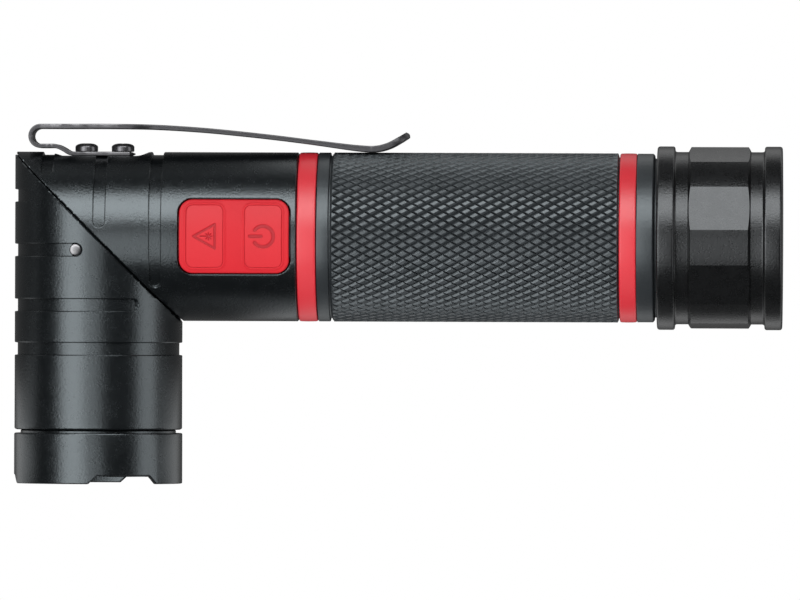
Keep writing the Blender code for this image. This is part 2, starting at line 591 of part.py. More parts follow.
def build_clip(frame, finish, steel):
    """One bent strip: the foot is fixed, and the arm flexes about the loop."""
    loop_low_y = LOOP_Y - CLIP_LOOP_R
    leg_run, slope_run, foot_run = CLIP_BEND
    bend_x = CLIP_FLAT_FROM_X + foot_run
    foot_line = [(CLIP_LOOP_X, loop_low_y), (CLIP_LOOP_X + leg_run, loop_low_y),
                 (bend_x - slope_run, (loop_low_y + FOOT_Y) / 2), (bend_x, FOOT_Y), (CLIP_FOOT_END_X, FOOT_Y)]
    foot = add_object("clip_foot", strip_mesh(foot_line, CLIP_FOOT_THICK, [CLIP_WIDTH] * 5), finish, frame)
    joint = add_empty("clip_joint", frame, place=(CLIP_LOOP_X, LOOP_Y, 0))

    grip_touch_y = BODY_R + FIT + CLIP_ARM_THICK / 2
    low_x = GRIP_X + CLIP_LOW_POINT
    arm_drop = ARM_Y - grip_touch_y
    loop_steps = 8
    turns = [CLIP_LOOP_CUT + step * (180 - CLIP_LOOP_CUT) / loop_steps for step in range(loop_steps + 1)]
    line = [(-CLIP_LOOP_R * math.sin(math.radians(turn)), -CLIP_LOOP_R * math.cos(math.radians(turn)))
            for turn in turns]
    widths = [CLIP_WIDTH] * len(line)
    for x, width in ((CLIP_WIDE_FROM_X - CLIP_RAMP, CLIP_WIDTH), (CLIP_WIDE_FROM_X, CLIP_WIDE),
                     (CLIP_WIDE_TO_X, CLIP_WIDE), (CLIP_WIDE_TO_X + CLIP_RAMP, CLIP_WIDTH),
                     (CLIP_LEVEL_END_X, CLIP_WIDTH)):
        line.append((x - CLIP_LOOP_X, CLIP_LOOP_R))
        widths.append(width)
    bend_steps = 5
    for step in range(1, bend_steps + 1):
        share = step / bend_steps
        line.append((CLIP_LEVEL_END_X + (low_x - CLIP_LEVEL_END_X) * share - CLIP_LOOP_X,
                     CLIP_LOOP_R - arm_drop * share ** 1.35))
        widths.append(CLIP_WIDTH)
    for share in (0.35, 0.7, 1.0):
        line.append((low_x + CLIP_TIP_RUN * share - CLIP_LOOP_X,
                     CLIP_LOOP_R - arm_drop + CLIP_TIP_RISE * share ** 1.4))
        widths.append(CLIP_WIDTH * (1 - 0.25 * share ** 3))
    arm = add_object("clip_arm", strip_mesh(line, CLIP_ARM_THICK, widths), finish, joint)

    head_low_y = FOOT_TOP_Y + FIT
    for index, x in enumerate(SCREW_XS, 1):
        screw = turned_mesh([(-SCREW_REACH, 0), (-SCREW_REACH, SCREW_SHANK_R), (0, SCREW_SHANK_R),
                             (0, SCREW_HEAD_R), (SCREW_HEAD * 0.6, SCREW_HEAD_R),
                             (SCREW_HEAD, SCREW_HEAD_R * 0.65), (SCREW_HEAD, 0)], SMALL_STEPS)
        add_object(f"clip_screw_{index}", screw, steel, frame, place=(x, head_low_y, 0),
                   turn=(0, 0, math.pi / 2))
        foot_hole = rod_mesh(-CLIP_FOOT_THICK, CLIP_FOOT_THICK, SCREW_SHANK_R + FIT)
        combine(foot, add_object(f"foot_hole_{index}", foot_hole, parent=frame, place=(x, FOOT_Y, 0),
                                 turn=(0, 0, math.pi / 2)))
        access = rod_mesh(-CLIP_ARM_THICK, CLIP_ARM_THICK, SCREW_HEAD_R + 2 * FIT)
        combine(arm, add_object(f"access_hole_{index}", access, parent=joint,
                                place=(x - CLIP_LOOP_X, CLIP_LOOP_R, 0), turn=(0, 0, math.pi / 2)))


def strip_mesh(line, thickness, widths):
    """A flat strip bent along an (x, y) line, centred on z = 0, with its own width at each point."""
    bm = bmesh.new()
    rows = []
    for index, (x, y) in enumerate(line):
        before = Vector(line[max(index - 1, 0)])
        after = Vector(line[min(index + 1, len(line) - 1)])
        run = (after - before).normalized()
        half = thickness / 2
        side = Vector((-run.y, run.x)) * half
        wide = widths[index] / 2
        rows.append([bm.verts.new((x + sign * side.x, y + sign * side.y, z))
                     for sign, z in ((1, wide), (1, -wide), (-1, -wide), (-1, wide))])
    for row, following in zip(rows, rows[1:]):
        for corner in range(4):
            other = (corner + 1) % 4
            bm.faces.new((row[corner], row[other], following[other], following[corner]))
    bm.faces.new(rows[0])
    bm.faces.new(rows[-1])
    return bm


def build_tube(frame, finishes):
    black, red, rubber = (finishes[key] for key in ("black_anodised", "red_silicone", "seal_rubber"))
    low_r = BODY_R - GROOVE_DEPTH
    neck_bore_r = BODY_NECK_R + FIT
    start_x = RING_END_X + SEAM
    seal_x = TUBE_END_X + TAIL_SEAL_AT
    seal_end_x = seal_x + TAIL_SEAL_WIDE
    seal_floor_r = TUBE_NECK_R - TAIL_SEAL_DEEP
    tube = turned_mesh([
        (start_x, neck_bore_r), (start_x, BODY_R), (COLLAR_END_X, BODY_R), (COLLAR_END_X, low_r),
        (GRIP_X, low_r), (GRIP_X, BODY_R - EDGE), (GRIP_X + EDGE, BODY_R), (GRIP_END_X - EDGE, BODY_R),
        (GRIP_END_X, BODY_R - EDGE), (GRIP_END_X, low_r), (REAR_RING_X - SEAM, low_r),
        (REAR_RING_X - SEAM, RING_SEAT_R - FIT), (REAR_RING_END_X + SEAM, RING_SEAT_R - FIT),
        (REAR_RING_END_X + SEAM, BODY_R), (TUBE_END_X - 2 * EDGE, BODY_R), (TUBE_END_X, BODY_R - EDGE),
        (TUBE_END_X, TUBE_NECK_R), (seal_x, TUBE_NECK_R), (seal_x, seal_floor_r),
        (seal_end_x, seal_floor_r), (seal_end_x, TUBE_NECK_R),
        (TUBE_NECK_END_X - EDGE, TUBE_NECK_R), (TUBE_NECK_END_X, TUBE_NECK_R - EDGE),
        (TUBE_NECK_END_X, BATTERY_BORE_R), (BODY_NECK_END_X + FIT, BATTERY_BORE_R),
        (BODY_NECK_END_X + FIT, neck_bore_r)])
    add_object("grip_tube", tube, black, frame)
    add_object("front_accent_ring", ring_mesh(FRONT_RING_X + SEAM, RING_END_X - SEAM, RING_SEAT_R, BODY_R,
                                              ROUND_STEPS), red, frame)
    add_object("rear_accent_ring", ring_mesh(REAR_RING_X + SEAM, REAR_RING_END_X - SEAM, RING_SEAT_R, BODY_R,
                                             ROUND_STEPS), red, frame)
    add_object("tail_o_ring", ring_mesh(seal_x + TAIL_SEAL_GAP, seal_end_x - TAIL_SEAL_GAP,
                                        seal_floor_r + TAIL_SEAL_GAP, TUBE_NECK_R + TAIL_SEAL_GAP / 3,
                                        chamfer=EDGE / 2), rubber, frame)
    ring_gap_r = BODY_NECK_R + SEAM
    add_object("tube_o_ring", ring_mesh(FRONT_RING_X + SEAM, RING_END_X - SEAM, ring_gap_r,
                                        RING_SEAT_R - SEAM, FINE_STEPS), rubber, frame)


def build_battery(frame, finishes):
    front_plate = rod_mesh(CARRIER_X, CARRIER_X + CARRIER_END, CARRIER_R, FINE_STEPS)
    carrier = add_object("battery_carrier", front_plate, finishes["black_plastic"], frame)
    inner_x = CARRIER_X + CARRIER_END - FIT
    outer_x = CARRIER_END_X - CARRIER_END + FIT
    plate = add_object("carrier_plate", rod_mesh(CARRIER_END_X - CARRIER_END, CARRIER_END_X, CARRIER_R,
                                                 FINE_STEPS), parent=frame)
    combine(carrier, plate, "UNION")
    nub_x = CARRIER_X + CARRIER_END + FIT
    for index in range(CELL_COUNT):
        angle = 2 * math.pi * index / CELL_COUNT
        cell = turned_mesh([(nub_x, 0), (nub_x, CELL_NUB_R), (nub_x + CELL_NUB, CELL_NUB_R),
                            (nub_x + CELL_NUB, CELL_R - EDGE), (nub_x + CELL_NUB + EDGE, CELL_R),
                            (nub_x + CELL_NUB + CELL_LENGTH - EDGE, CELL_R),
                            (nub_x + CELL_NUB + CELL_LENGTH, CELL_R - EDGE),
                            (nub_x + CELL_NUB + CELL_LENGTH, 0)], SMALL_STEPS)
        add_object(f"cell_{index + 1}", cell, finishes["cell_wrap"], frame,
                   place=(0, CELL_SPACING_R * math.cos(angle), CELL_SPACING_R * math.sin(angle)))
        rod_angle = angle + math.pi / CELL_COUNT
        rod = add_object(f"carrier_rod_{index + 1}", rod_mesh(inner_x, outer_x, CARRIER_ROD_R, 8),
                         parent=frame, place=(0, CARRIER_ROD_AT * math.cos(rod_angle),
                                              CARRIER_ROD_AT * math.sin(rod_angle)))
        combine(carrier, rod, "UNION")


# --- Head half --------------------------------------------------------------------------------------
def build_head_housing(head, finishes):
    black = finishes["black_anodised"]
    groove_from = HEAD_RING_GROOVE - SLOT_WIDTH / 2
    groove_to = HEAD_RING_GROOVE + SLOT_WIDTH / 2
    barrel = turned_mesh([(BARREL_START, 0), (BARREL_START, HEAD_R), (groove_from, HEAD_R),
                          (groove_from, HEAD_R - SLOT_DEPTH), (groove_to, HEAD_R - SLOT_DEPTH),
                          (groove_to, HEAD_R),
                          (HEAD_BARREL_END - EDGE, HEAD_R), (HEAD_BARREL_END, HEAD_R - EDGE),
                          (HEAD_BARREL_END, HEAD_NECK_R), (NECK_END, HEAD_NECK_R), (NECK_END, 0)])
    normal_in_leg = Vector((-SQUARE, SQUARE, 0))
    cut_by_plane(barrel, -normal_in_leg * SEAM, normal_in_leg)
    housing = add_object("head_housing", barrel, black, head, turn=DOWN_TURN)
    bore = rod_mesh(BARREL_START, NECK_END + END_WALL, HEAD_BORE_R, FINE_STEPS)
    cut_by_plane(bore, -normal_in_leg * (SEAM + END_WALL), normal_in_leg)
    combine(housing, add_object("head_bore", bore, parent=head, turn=DOWN_TURN))
    spindle_hole = rod_mesh(-3 * END_WALL, END_WALL, SPINDLE_R + FIT, FINE_STEPS)
    combine(housing, add_object("head_spindle_hole", spindle_hole, parent=head, turn=(0, 0, math.pi / 4)))
    for index, (down, degrees) in enumerate(HEAD_SLOTS, 1):
        combine(housing, slot_cutter(f"head_slot_{index}", down, degrees, HEAD_R, head,
                                     (0, math.pi, -math.pi / 2)))

    pin_top = math.sqrt(HEAD_R ** 2 - PIN_X ** 2)
    pin_floor = pin_top - SLOT_DEPTH - PIN_REACH
    hole = rod_mesh(pin_floor - FIT, HEAD_R * 1.1, PIN_R + PIN_GAP)
    combine(housing, add_object("pin_hole", hole, parent=head, place=(PIN_X, -PIN_DOWN, 0),
                                turn=(0, -math.pi / 2, 0)))
    pin = turned_mesh([(pin_floor, 0), (pin_floor, PIN_R), (pin_top - PIN_DOME, PIN_R),
                       (pin_top - PIN_DOME / 3, PIN_R * 0.7), (pin_top, 0)], SMALL_STEPS)
    add_object("stop_pin", pin, finishes["plain_steel"], head, place=(PIN_X, -PIN_DOWN, 0),
               turn=(0, -math.pi / 2, 0))


def build_bezel(head, finishes):
    neck_bore_r = HEAD_NECK_R + FIT
    seat_r = LENS_R + FIT
    bezel = add_object("bezel", turned_mesh([
        (BEZEL_DOWN, neck_bore_r), (BEZEL_DOWN, HEAD_R - EDGE), (BEZEL_DOWN + EDGE, HEAD_R),
        (HEAD_LENGTH - EDGE, HEAD_R), (HEAD_LENGTH, HEAD_R - EDGE), (HEAD_LENGTH, LIP_R + EDGE),
        (LIP_DOWN, LIP_R), (LIP_DOWN, seat_r), (NECK_END + FIT, seat_r), (NECK_END + FIT, neck_bore_r)]),
        finishes["black_anodised"], head, turn=DOWN_TURN)
    rim_half = HEAD_R * math.sin(NOTCH_RIM_WIDE / 2)
    top_half = HEAD_R * math.sin(NOTCH_TOP_WIDE / 2)
    grow = 1 + FIT / NOTCH_DEPTH * (rim_half - top_half) / rim_half
    outline = [(HEAD_LENGTH - NOTCH_DEPTH, -top_half), (HEAD_LENGTH + FIT, -rim_half * grow),
               (HEAD_LENGTH + FIT, rim_half * grow), (HEAD_LENGTH - NOTCH_DEPTH, top_half)]
    for index in range(NOTCH_COUNT):
        angle = NOTCH_START + 2 * math.pi * index / NOTCH_COUNT
        holder = add_empty(f"notch_turn_{index + 1}", head, turn=DOWN_TURN)
        notch = add_object(f"notch_{index + 1}", prism_mesh(outline, LIP_R * 0.7, HEAD_R * 1.1),
                           parent=holder, turn=(-angle, 0, 0))
        combine(bezel, notch)

    add_object("lens", rod_mesh(LENS_DOWN, LENS_DOWN + LENS_THICK, LENS_R, ROUND_STEPS, LENS_EDGE),
               finishes["clear_glass"], head, turn=DOWN_TURN)
    add_object("lens_gasket", ring_mesh(GASKET_DOWN, GASKET_DOWN + GASKET_THICK, LIP_R + FIT, LENS_R),
               finishes["seal_rubber"], head, turn=DOWN_TURN)


def build_optics(head, finishes):
    flange_r = LENS_R - FIT
    mouth = LENS_DOWN - FIT
    foot = REFLECTOR_DOWN
    reflector = add_object("reflector", turned_mesh([
        (foot, 0), (foot, REFLECTOR_R), (NECK_END + FIT, REFLECTOR_R), (NECK_END + FIT, flange_r),
        (mouth, flange_r), (mouth, 0)], FINE_STEPS), finishes["mirror_coat"], head, turn=DOWN_TURN)
    depth = mouth - foot
    bowl = [(foot - FIT, 0), (foot - FIT, BOWL_FOOT_R), (foot + depth * 0.04, BOWL_FOOT_R)]
    bowl_steps = 6
    for step in range(1, bowl_steps + 1):
        share = step / bowl_steps
        bowl.append((foot + depth * (0.04 + 0.96 * share),
                     BOWL_FOOT_R + (BOWL_R - BOWL_FOOT_R) * math.sqrt(share)))
    bowl += [(mouth + FIT, BOWL_R), (mouth + FIT, 0)]
    combine(reflector, add_object("bowl", turned_mesh(bowl, FINE_STEPS), parent=head,
                                  place=(BOWL_OFFSET, 0, 0), turn=DOWN_TURN))
    laser_hole = rod_mesh(foot - FIT, mouth + FIT, LASER_R + FIT)
    combine(reflector, add_object("laser_hole", laser_hole, parent=head, place=(-LASER_OFFSET, 0, 0),
                                  turn=DOWN_TURN))
    laser = turned_mesh([(mouth - LASER_LENGTH, 0), (mouth - LASER_LENGTH, LASER_R), (mouth, LASER_R),
                         (mouth, LASER_R * 0.5), (mouth - LASER_R / 2, LASER_R * 0.35),
                         (mouth - LASER_R / 2, 0)],
                        SMALL_STEPS)
    add_object("laser_module", laser, finishes["brass"], head, place=(-LASER_OFFSET, 0, 0), turn=DOWN_TURN)

    led_board = rod_mesh(LED_BOARD_DOWN, LED_BOARD_DOWN + LED_BOARD_THICK, LED_BOARD_R, FINE_STEPS)
    add_object("led_board", led_board, finishes["white_plastic"], head, turn=DOWN_TURN)
    half = LED_SIDE / 2
    led_down = LED_BOARD_DOWN + LED_BOARD_THICK + FIT
    led = add_object("led_emitter", box_mesh((led_down, -half, -half), (led_down + LED_BASE, half, half)),
                     finishes["phosphor"], head, place=(BOWL_OFFSET, 0, 0), turn=DOWN_TURN)
    dome_down = led_down + LED_BASE / 2
    dome = [(dome_down, 0)] + [
        (dome_down + LED_DOME_R * math.sin(step * math.pi / 8), LED_DOME_R * math.cos(step * math.pi / 8))
        for step in range(4)] + [(dome_down + LED_DOME_R, 0)]
    combine(led, add_object("led_dome", turned_mesh(dome, SMALL_STEPS), parent=head,
                            place=(BOWL_OFFSET, 0, 0), turn=DOWN_TURN), "UNION")

    sink_end = SINK_DOWN + SINK_LENGTH
    groove_r = SINK_R - SINK_FIN
    first, middle, last = (SINK_DOWN + SINK_LENGTH * share for share in (0.25, 0.5, 0.75))
    sink = add_object("heat_sink", turned_mesh([
        (SINK_DOWN, 0), (SINK_DOWN, groove_r), (first, groove_r), (first, SINK_R), (middle, SINK_R),
        (middle, groove_r), (last, groove_r), (last, SINK_R), (sink_end, SINK_R), (sink_end, 0)],
        FINE_STEPS), finishes["bare_aluminium"], head, turn=DOWN_TURN)
    wire_hole = rod_mesh(SINK_DOWN - FIT, sink_end + FIT, WIRE_HOLE_R)
    combine(sink, add_object("wire_hole", wire_hole, parent=head, place=(-WIRE_HOLE_OFFSET, 0, 0),
                             turn=DOWN_TURN))

    spindle_end = SEAM + END_WALL + WASHER_THICK + NUT_THICK + 2 * FIT + THREAD_SHOWN
    lead_start = spindle_end + 2 * FIT + WIRE_R / 2
    for name, side in (("red", 1), ("black", -1)):
        z = side * WIRE_APART
        route = [(*(-SPLIT * SEAM * 2).to_2d(), z), (*(-SPLIT * lead_start).to_2d(), z),
                 (-WIRE_HOLE_OFFSET, -SINK_DOWN + 2 * WIRE_R, z),
                 (-WIRE_HOLE_OFFSET, -LED_BOARD_DOWN + FIT, z)]
        add_tube(f"lead_{name}_head", route, WIRE_R, finishes[f"{name}_plastic"], head)


# --- Tail ---------------------------------------------------------------------------------------------
def build_tail(frame, finishes):
    tail = add_empty("tail_joint", frame, place=(CAP_X, 0, 0))
    contact = add_empty("tail_contact_joint", frame, place=(CAP_X, 0, 0))
    thread_r = TUBE_NECK_R + FIT
    facet_x = CAP_COLLAR + CAP_GROOVE
    facet_end = CAP_LENGTH - CAP_COLLAR - CAP_GROOVE
    small = CAP_ROUND
    magnet_floor = CAP_LENGTH - MAGNET_THICK - FIT
    cap = add_object("tail_cap", turned_mesh([
        (CAP_THREAD_DEPTH, 0), (CAP_THREAD_DEPTH, thread_r), (0, thread_r), (0, CAP_R - small),
        (small, CAP_R), (CAP_COLLAR - small, CAP_R),
        (CAP_COLLAR, CAP_R - small), (CAP_COLLAR, CAP_GROOVE_R), (facet_x, CAP_GROOVE_R),
        (facet_x, CAP_FACET_R - small), (facet_x + small, CAP_FACET_R), (facet_end - small, CAP_FACET_R),
        (facet_end, CAP_FACET_R - small), (facet_end, CAP_GROOVE_R), (facet_end + CAP_GROOVE, CAP_GROOVE_R),
        (facet_end + CAP_GROOVE, CAP_R - small), (facet_end + CAP_GROOVE + small, CAP_R),
        (CAP_LENGTH - 2 * small, CAP_R), (CAP_LENGTH - small / 2, CAP_R - small / 2),
        (CAP_LENGTH, CAP_R - 2 * small), (CAP_LENGTH, MAGNET_R + FIT), (magnet_floor, MAGNET_R + FIT),
        (magnet_floor, 0)]),
        finishes["black_anodised"], tail)
    flat_at = CAP_FACET_R * math.cos(FLAT_WIDE / 2)
    for index in range(FLAT_COUNT):
        angle = FLAT_START + 2 * math.pi * index / FLAT_COUNT
        block = box_mesh((facet_x - FIT, -CAP_R, flat_at), (facet_end + FIT, CAP_R, CAP_R * 1.2))
        combine(cap, add_object(f"cap_flat_{index + 1}", block, parent=tail, turn=(-angle, 0, 0)))
    magnet = rod_mesh(CAP_LENGTH - MAGNET_THICK, CAP_LENGTH - MAGNET_BELOW, MAGNET_R, FINE_STEPS, EDGE)
    add_object("tail_magnet", magnet, finishes["plain_steel"], tail)
    add_spring("tail_spring", SPRING_X - CAP_X, SPRING_END_X - CAP_X, *TAIL_SPRING_R, 4,
               finishes["brass"], contact)
    add_object("tail_contact_plate", rod_mesh(CONTACT_X - CAP_X, CONTACT_X + CONTACT_THICK - CAP_X,
                                              TUBE_NECK_R - FIT, FINE_STEPS), finishes["brass"], contact)


def build_torch():
    for old in list(bpy.data.objects):
        bpy.data.objects.remove(old, do_unlink=True)
    finishes = {name: make_finish(name) for name in FINISHES}
    frame = add_empty("torch_frame", place=-MIDDLE)
    build_body_housing(frame, finishes["black_anodised"])
    build_buttons(frame, finishes)
    build_swivel(frame, finishes)
    build_front_electrics(frame, finishes)
    build_clip(frame, finishes["clip_steel"], finishes["plain_steel"])
    build_tube(frame, finishes)
    build_battery(frame, finishes)
    head = add_empty("head_joint", frame)
    build_head_housing(head, finishes)
    build_bezel(head, finishes)
    build_optics(head, finishes)
    build_tail(frame, finishes)


build_torch()
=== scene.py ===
import json
import math
from types import SimpleNamespace

import bmesh
import bpy
import numpy as np
from mathutils import Matrix, Vector


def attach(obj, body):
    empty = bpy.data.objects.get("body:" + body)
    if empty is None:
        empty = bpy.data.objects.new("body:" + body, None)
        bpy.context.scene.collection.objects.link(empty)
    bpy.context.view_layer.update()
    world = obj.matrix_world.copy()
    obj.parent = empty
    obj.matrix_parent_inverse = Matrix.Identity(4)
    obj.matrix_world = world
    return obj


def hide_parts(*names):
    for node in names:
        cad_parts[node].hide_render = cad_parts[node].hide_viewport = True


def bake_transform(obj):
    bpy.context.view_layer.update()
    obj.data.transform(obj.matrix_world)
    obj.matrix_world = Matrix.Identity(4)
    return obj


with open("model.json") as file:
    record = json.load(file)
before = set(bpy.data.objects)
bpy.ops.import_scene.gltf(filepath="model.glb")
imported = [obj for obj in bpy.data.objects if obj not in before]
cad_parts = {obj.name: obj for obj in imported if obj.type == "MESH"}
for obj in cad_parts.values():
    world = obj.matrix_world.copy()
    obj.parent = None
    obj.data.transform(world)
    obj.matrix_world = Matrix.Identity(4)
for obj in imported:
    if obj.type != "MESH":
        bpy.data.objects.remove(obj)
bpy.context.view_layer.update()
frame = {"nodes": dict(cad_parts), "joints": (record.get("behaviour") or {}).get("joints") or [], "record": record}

# Every length below is in millimetres, about the point where the tube axis meets the head axis.
# The tube runs along +X, the head along -Y, and +Z is up through the buttons.
mm = 0.001
joints = {joint["name"]: joint for joint in frame["joints"]}
axisCross = Vector(joints["head_swivel"]["pos_m"])
headTurn = (0, 0, -math.pi / 2)     # a piece made along +X then runs down the head
splitNormal = Vector((math.sqrt(0.5), math.sqrt(0.5), 0))


def finishMesh(name, mesh, material, turn, sharpAngle):
    bm = bmesh.new()
    bm.from_mesh(mesh)
    bmesh.ops.recalc_face_normals(bm, faces=bm.faces)
    bm.to_mesh(mesh)
    bm.free()
    mesh.shade_smooth()
    mesh.set_sharp_from_angle(angle=math.radians(sharpAngle))
    piece = bpy.data.objects.new(name, mesh)
    bpy.context.collection.objects.link(piece)
    piece.location = axisCross
    piece.rotation_euler = turn
    if material:
        mesh.materials.append(material)
    return piece


def addMesh(name, points, faces, material=None, turn=(0, 0, 0), sharpAngle=32):
    mesh = bpy.data.meshes.new(name)
    mesh.from_pydata((np.asarray(points) * mm).tolist(), [], faces)
    return finishMesh(name, mesh, material, turn, sharpAngle)


def skinFaces(rows, columns, wrapRows=False, wrapColumns=True):
    index = np.arange(rows * columns).reshape(rows, columns)
    if wrapRows:
        index = np.vstack([index, index[:1]])
    if wrapColumns:
        index = np.hstack([index, index[:, :1]])
    quads = np.stack([index[:-1, :-1], index[:-1, 1:], index[1:, 1:], index[1:, :-1]], axis=-1)
    return quads.reshape(-1, 4).tolist()


def aroundTube(xs, angles, radii):
    # angles run from +Z towards +Y; radii has one row for each x
    xs = np.broadcast_to(np.asarray(xs, float).reshape(len(radii), -1), radii.shape)
    return np.stack([xs, radii * np.sin(angles), radii * np.cos(angles)], axis=-1)


def tidyLines(values, smallest=0.012):
    kept = []
    for value in sorted(values):
        if not kept or value - kept[-1] > smallest:
            kept.append(float(value))
    return np.array(kept)


def turned(name, profile, material=None, turn=(0, 0, 0), columns=128, sharpAngle=32):
    # spins (x, radius) points; a profile that starts off the axis is closed into a ring
    angles = np.linspace(0, 2 * math.pi, columns, endpoint=False)
    ring = profile[0][1] > 0
    inner = profile if ring else profile[1:-1]
    radii = np.array([r for _, r in inner])[:, None] * np.ones(columns)
    points = aroundTube([x for x, _ in inner], angles, radii).reshape(-1, 3)
    faces = skinFaces(len(inner), columns, wrapRows=ring)
    if not ring:
        points = np.vstack([points, [[profile[0][0], 0, 0], [profile[-1][0], 0, 0]]])
        first, last, lastRow = len(points) - 2, len(points) - 1, (len(inner) - 1) * columns
        for column in range(columns):
            following = (column + 1) % columns
            faces.append([first, following, column])
            faces.append([last, lastRow + column, lastRow + following])
    return addMesh(name, points, faces, material, turn, sharpAngle)


def roundedProfile(points, corner=0.2, steps=4):
    # rounds each inner corner of an open (x, radius) line
    line = [Vector(point) for point in points]
    rounded = [tuple(line[0])]
    for before, here, after in zip(line, line[1:], line[2:]):
        toBefore, toAfter = before - here, after - here
        reach = min(corner, toBefore.length * 0.45, toAfter.length * 0.45)
        start = here + toBefore.normalized() * reach
        end = here + toAfter.normalized() * reach
        for step in range(steps + 1):
            share = step / steps
            point = start * (1 - share) ** 2 + here * 2 * share * (1 - share) + end * share ** 2
            rounded.append(tuple(point))
    rounded.append(tuple(line[-1]))
    return rounded


def roundedBoxDistance(across, along, halfAcross, halfAlong, corner):
    # below zero inside a rectangle with round corners
    dx = np.abs(across) - (halfAcross - corner)
    dy = np.abs(along) - (halfAlong - corner)
    outside = np.hypot(np.maximum(dx, 0), np.maximum(dy, 0))
    return outside + np.minimum(np.maximum(dx, dy), 0) - corner


def applyModifiers(piece):
    bpy.context.view_layer.update()
    evaluated = piece.evaluated_get(bpy.context.evaluated_depsgraph_get())
    mesh = bpy.data.meshes.new_from_object(evaluated)
    piece.modifiers.clear()
    piece.data = mesh
    return piece


def cutWith(piece, *cutters):
    for cutter in cutters:
        change = piece.modifiers.new(cutter.name, "BOOLEAN")
        change.solver = "EXACT"
        change.object = cutter
    applyModifiers(piece)
    for cutter in cutters:
        bpy.data.objects.remove(cutter, do_unlink=True)
    return piece


def boxMesh(name, low, high, turn=(0, 0, 0), material=None):
    x0, y0, z0 = low
    x1, y1, z1 = high
    corners = [(x, y, z) for x in (x0, x1) for y in (y0, y1) for z in (z0, z1)]
    faces = [(0, 1, 3, 2), (4, 6, 7, 5), (0, 4, 5, 1), (2, 3, 7, 6), (0, 2, 6, 4), (1, 5, 7, 3)]
    return addMesh(name, corners, faces, material, turn)


def rideAs(piece, body, *nodes, slot=None):
    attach(piece, body)
    if nodes:
        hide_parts(*nodes)
    return piece


def newGroup(name, numbers, outputs):
    # every group takes a place as its first input, then plain numbers
    group = bpy.data.node_groups.new(name, "ShaderNodeTree")
    group.interface.new_socket("Vector", in_out="INPUT", socket_type="NodeSocketVector")
    for socketName, value in numbers.items():
        socket = group.interface.new_socket(socketName, in_out="INPUT", socket_type="NodeSocketFloat")
        socket.default_value = value
    for socketName in outputs:
        group.interface.new_socket(socketName, in_out="OUTPUT", socket_type="NodeSocketFloat")
    return group, group.nodes.new("NodeGroupInput").outputs, group.nodes.new("NodeGroupOutput").inputs


def setInput(tree, target, value):
    if isinstance(value, bpy.types.NodeSocket):
        tree.links.new(value, target)
    else:
        target.default_value = value


def addNode(tree, kind, links=(), **settings):
    node = tree.nodes.new("ShaderNode" + kind)
    for key, value in settings.items():
        setattr(node, key, value)
    for socket, value in dict(links).items():
        setInput(tree, node.inputs[socket], value)
    return node


def addMath(tree, operation, *values, **settings):
    return addNode(tree, "Math", enumerate(values), operation=operation, **settings).outputs[0]


def addNoise(tree, vector, scale, detail, roughness=0.5):
    links = {"Vector": vector, "Scale": scale, "Detail": detail, "Roughness": roughness}
    return addNode(tree, "TexNoise", links).outputs[0]


def addRange(tree, value, low, high, **settings):
    # 0 at low, 1 at high
    links = {"Value": value, "From Min": low, "From Max": high}
    return addNode(tree, "MapRange", links, **settings).outputs[0]


def addShaderMix(tree, factor, first, second):
    return addNode(tree, "MixShader", {0: factor, 1: first.outputs[0], 2: second.outputs[0]})


def makeGrainGroup():
    # fine blasted grain with broad, faint mottling
    numbers = {"Grain Scale": 2500.0, "Mottle Scale": 90.0, "Roughness": 0.4, "Roughness Spread": 0.08}
    group, given, result = newGroup("fineGrain", numbers, ("Height", "Roughness", "Mottle"))
    grain = addNoise(group, given["Vector"], given["Grain Scale"], 3.0, 0.6)
    mottle = addNoise(group, given["Vector"], given["Mottle Scale"], 5.0, 0.55)
    centred = addMath(group, "SUBTRACT", addMath(group, "MULTIPLY", grain, mottle), 0.25)
    rough = addMath(group, "MULTIPLY_ADD", centred, given["Roughness Spread"], given["Roughness"])
    for socket, value in (("Height", grain), ("Roughness", rough), ("Mottle", mottle)):
        group.links.new(value, result[socket])
    return group


def makeMaskGroup(name, numbers, makeParts):
    # the product of two masks, times the amount
    group, given, result = newGroup(name, numbers, ("Mask",))
    both = addMath(group, "MULTIPLY", *makeParts(group, given))
    mask = addMath(group, "MULTIPLY", both, given["Amount"], use_clamp=True)
    group.links.new(mask, result["Mask"])
    return group


def edgeParts(group, given):
    # where an outer edge has rubbed bright, broken up by noise
    shape = addNode(group, "NewGeometry").outputs["Pointiness"]
    noise = addNoise(group, given["Vector"], 420.0, 4.0)
    return addRange(group, shape, given["Start"], given["End"]), addRange(group, noise, 0.35, 0.6)


def speckParts(group, given):
    # sparse pale specks, as on rubber and blasted metal, in patches
    cells = addNode(group, "TexVoronoi", {"Vector": given["Vector"], "Scale": given["Speck Scale"]})
    noise = addNoise(group, given["Vector"], 160.0, 3.0)
    return addRange(group, cells.outputs["Distance"], 0.16, 0.05), addRange(group, noise, 0.5, 0.68)


grainGroup = makeGrainGroup()
edgeGroup = makeMaskGroup("edgeWear", {"Start": 0.53, "End": 0.62, "Amount": 0.5}, edgeParts)
dustGroup = makeMaskGroup("fineDust", {"Speck Scale": 900.0, "Amount": 0.2}, speckParts)
print("shader groups ready")


def placeGroup(tree, group, links):
    node = tree.nodes.new("ShaderNodeGroup")
    node.node_tree = group
    for socket, value in links.items():
        setInput(tree, node.inputs[socket], value)
    return node.outputs


def addColourMix(tree, factor, first, second):
    mix = tree.nodes.new("ShaderNodeMix")
    mix.data_type = "RGBA"
    tree.links.new(factor, mix.inputs["Factor"])
    for socket, value in (("A", first), ("B", second)):
        target = next(s for s in mix.inputs if s.name == socket and s.type == "RGBA")
        setInput(tree, target, (*value, 1) if isinstance(value, tuple) else value)
    return next(s for s in mix.outputs if s.type == "RGBA")


